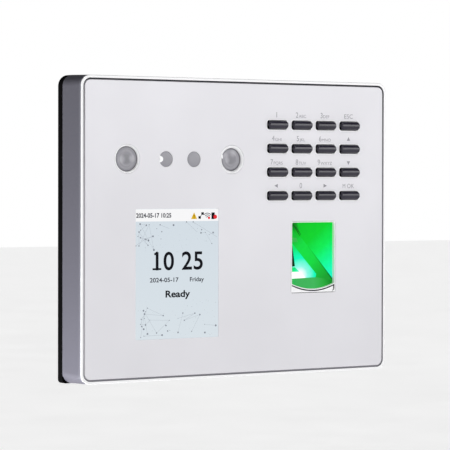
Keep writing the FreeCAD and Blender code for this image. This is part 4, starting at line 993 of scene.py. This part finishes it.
def build_contacts(gold):
    """The pins in the wiring headers and the contacts on the socket's tongue."""
    low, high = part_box("wire_headers")
    _, centre_v = middle("wire_headers")
    mouth = -high.y / MM
    steps = ((0.32, -low.y / MM), (0.32, mouth + 1.0), (0.12, mouth + 0.6))
    shape = bmesh.new()
    for start_u, count in HEADER_STARTS:
        for pin in range(count):
            centre = (start_u + pin * PIN_PITCH + 0.2, centre_v)
            bridge(shape, [ring(centre, rectangle(half, half), level) for half, level in steps],
                   caps=True)
    add_piece("header_pins", shape, [gold], smooth_deg=20)
    low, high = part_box("usb_tongue")
    under = -high.y / MM
    foot, tip = low.z / MM + 0.3, high.z / MM - 0.5
    shape = bmesh.new()
    for contact in range(4):
        centre = ((contact - 1.5) * USB_PITCH, (foot + tip) / 2)
        bridge(shape, [ring(centre, rectangle(0.5, (tip - foot) / 2), level)
                       for level in (under - 0.05, under + 0.02)], caps=True)
    add_piece("usb_contacts", shape, [gold], smooth_deg=20)


# ---------------------------------------------------------------- the carried-over CAD nodes

def paint_nodes():
    """Give each CAD node whose material slot is listed below a procedural finish of its own kind.
    """
    steel = plated("bright_steel", (0.62, 0.62, 0.63), rough=0.28)
    finishes = {
        "panel": panel_print(),
        "silver_shell": housing_paint(),
        "circuit_board": circuit("solder_mask"),
        "black_plastic": moulded("black_moulding", (27, 27, 29), rough=0.5),
        "black_shell": moulded("rear_moulding", (7, 7, 8), rough=0.6, grain=0.4, depth=0.010,
                               ior=1.06),
        "white_plastic": moulded("natural_nylon", (232, 230, 222), rough=0.42),
        "spring_steel": steel,
        "socket_steel": steel,
        "bracket_steel": plated("zinc_plate", (0.50, 0.52, 0.54), rough=0.38,
                                brushed=(0.15, 1, 1), depth=0.003, patch=0.02),
        "screw_steel": plated("screw_zinc", (0.58, 0.58, 0.58), rough=0.26),
        "silicone": moulded("silicone", (70, 70, 73), rough=0.7, grain=0.6),
        "ribbon": moulded("ribbon_film", (176, 118, 34), rough=0.3, coat=0.4),
        "chip": moulded("chip_epoxy", (32, 32, 34), rough=0.6, grain=0.15),
        "capacitor": plated("can_aluminium", (0.72, 0.72, 0.74), rough=0.35, brushed=(1, 1, 0.1)),
        "lamp": moulded("lamp_resin", (206, 228, 214), rough=0.15, coat=0.8),
        "adhesive": moulded("adhesive_film", (224, 222, 214), rough=0.6),
    }
    slots = {item["node"]: item["material_slot"] for item in frame["record"]["subparts"]}
    for name, node in frame["nodes"].items():
        if slots[name] in finishes:
            node.data.materials[0] = finishes[slots[name]]


# ---------------------------------------------------------------- camera, light and stage

def build_camera():
    """A long lens from the user's left, nearly level with the panel."""
    yaw, pitch, roll = (math.radians(turn) for turn in (CAMERA_YAW, CAMERA_PITCH, CAMERA_ROLL))
    forward = Vector((math.sin(yaw) * math.cos(pitch), math.cos(yaw) * math.cos(pitch),
                      -math.sin(pitch)))
    right = Vector((math.cos(yaw), -math.sin(yaw), 0))
    up = right.cross(forward)
    turned_right = right * math.cos(roll) - up * math.sin(roll)
    turned_up = right * math.sin(roll) + up * math.cos(roll)
    data = bpy.data.cameras.new("camera")
    data.lens = CAMERA_LENS
    data.sensor_width = CAMERA_SENSOR
    data.clip_end = 2 * FLOOR_REACH + 10
    camera = bpy.data.objects.new("camera", data)
    bpy.context.scene.collection.objects.link(camera)
    turn = Matrix((turned_right, turned_up, -forward)).transposed().to_4x4()
    place = point(CAMERA_U, CAMERA_V, FRONT_LEVEL + CAMERA_OFF)
    camera.matrix_world = Matrix.Translation(place) @ turn
    bpy.context.scene.camera = camera


def area_light(name, place, target, size, power):
    data = bpy.data.lights.new(name, "AREA")
    data.shape = "RECTANGLE"
    data.size, data.size_y = size
    data.energy = power
    lamp = bpy.data.objects.new(name, data)
    bpy.context.scene.collection.objects.link(lamp)
    lamp.location = place
    lamp.rotation_mode = "QUATERNION"
    lamp.rotation_quaternion = (Vector(target) - Vector(place)).to_track_quat("-Z", "Y")


def build_sky():
    """A white backdrop to the eye. For light it is white below and darkens overhead."""
    world = bpy.data.worlds.new("studio")
    bpy.context.scene.world = world
    world.use_nodes = True
    sky = Nodes(world.node_tree)
    split = sky.node("SeparateXYZ", Vector=sky.node("TexCoord").outputs["Generated"])
    height = sky.node("MapRange", Value=split.outputs["Z"], From_Min=-1.0)
    shade = sky.ramp(height.outputs["Result"],
                     [(0.0, 1), (0.55, 1), (0.66, 0.22), (0.8, 0.06), (1.0, 0.03)])
    choose = sky.node("MixShader", Fac=sky.node("LightPath").outputs["Is Camera Ray"])
    for socket, colour in ((choose.inputs[1], shade), (choose.inputs[2], 1.0)):
        sky.feed(socket, sky.node("Background", Color=colour, Strength=1.0).outputs[0])
    sky.node("OutputWorld", Surface=choose.outputs["Shader"])


def build_stage():
    """A pale floor well below the terminal, soft lights and the sky."""
    scene = bpy.context.scene
    scene.view_settings.view_transform = "Standard"
    build_sky()
    mesh = bpy.data.meshes.new("floor")
    corners = [(x, y, FLOOR_DROP) for x, y in rectangle(FLOOR_REACH, FLOOR_REACH)]
    mesh.from_pydata(corners, [], [(0, 1, 2, 3)])
    floor = bpy.data.objects.new("floor", mesh)
    scene.collection.objects.link(floor)
    finish = Finish("pale_floor", roughness=0.8)
    pale = finish.ramp(finish.noise(400.0), [(0.3, 0.86), (0.7, 0.9)])
    finish.set(base_color=pale, emission_color=pale, emission_strength=0.85)
    mesh.materials.append(finish.material)

    area_light("key_softbox", (0.83, -1.22, 0.26), (0.04, 0, 0.03), (1.1, 0.45), 4.8)
    area_light("front_softbox", (0.0, -0.50, 0.58), (0, 0, 0.06), (0.7, 0.25), 1.6)
    area_light("low_left_fill", (-0.23, 0.02, -0.15), (-0.083, -0.01, -0.06), (0.05, 0.05), 0.9)


# ---------------------------------------------------------------- build

paint_nodes()
legend_print = moulded("legend_print", (150, 149, 156), rough=0.5)
key_plastic = moulded("key_plastic", (32, 29, 44), rough=0.2, grain=0.3, depth=0.0002,
                      specular=0.6)
# White for the bezel and the window rings, and also the colour of the painted highlights on the
# key lips and of the painted glints.
white_and_highlight = moulded("white_and_highlight", (250, 250, 252), rough=0.3, vary=0.02, coat=0.4)
# Painted shade for the bezel's groove and its outline.
painted_groove_shade = moulded("painted_groove_shade", (58, 56, 64), rough=0.6)
# Painted shadow at the lower right of the fingerprint window.
painted_shadow_strip = moulded("painted_shadow_strip", (16, 15, 20), rough=0.7, ior=1.1)
seat_dark = moulded("seat_dark", (104, 103, 110), rough=0.4)
gold = plated("gold_contact", (0.83, 0.62, 0.28), rough=0.25)
_, left_lens, right_lens = disc_pair("lens_rings")
# Painted highlights on the camera windows, to the left and right of each lens.
painted_lens_highlights = [
    (point(lens[0] + shift_u, lens[1] + shift_v, FRONT_LEVEL - 0.7), reach)
    for lens, shift_u, shift_v, reach in (
        (left_lens, -2.4, -0.2, 2.2), (left_lens, 2.8, 0.2, 2.0), (right_lens, -2.2, -0.4, 1.7),
        (right_lens, -3.2, 1.6, 2.0), (right_lens, 1.0, 2.8, 2.0))
]
pane = lens_coating(
    "smoked_pane", (122, 121, 128), (146, 145, 152), (196, 195, 202),
    [point(*centre, FRONT_LEVEL) for centre in (left_lens, right_lens)], painted_lens_highlights)
build_keys(key_plastic)
build_key_lips(white_and_highlight)
build_legends(legend_print)
build_screen()
build_bezel(white_and_highlight, painted_groove_shade, painted_shadow_strip)
build_finger_glass()
build_windows(white_and_highlight, seat_dark, pane)
build_gap_gasket(gasket_foam_painted_shade())
build_contacts(gold)
build_camera()
build_stage()
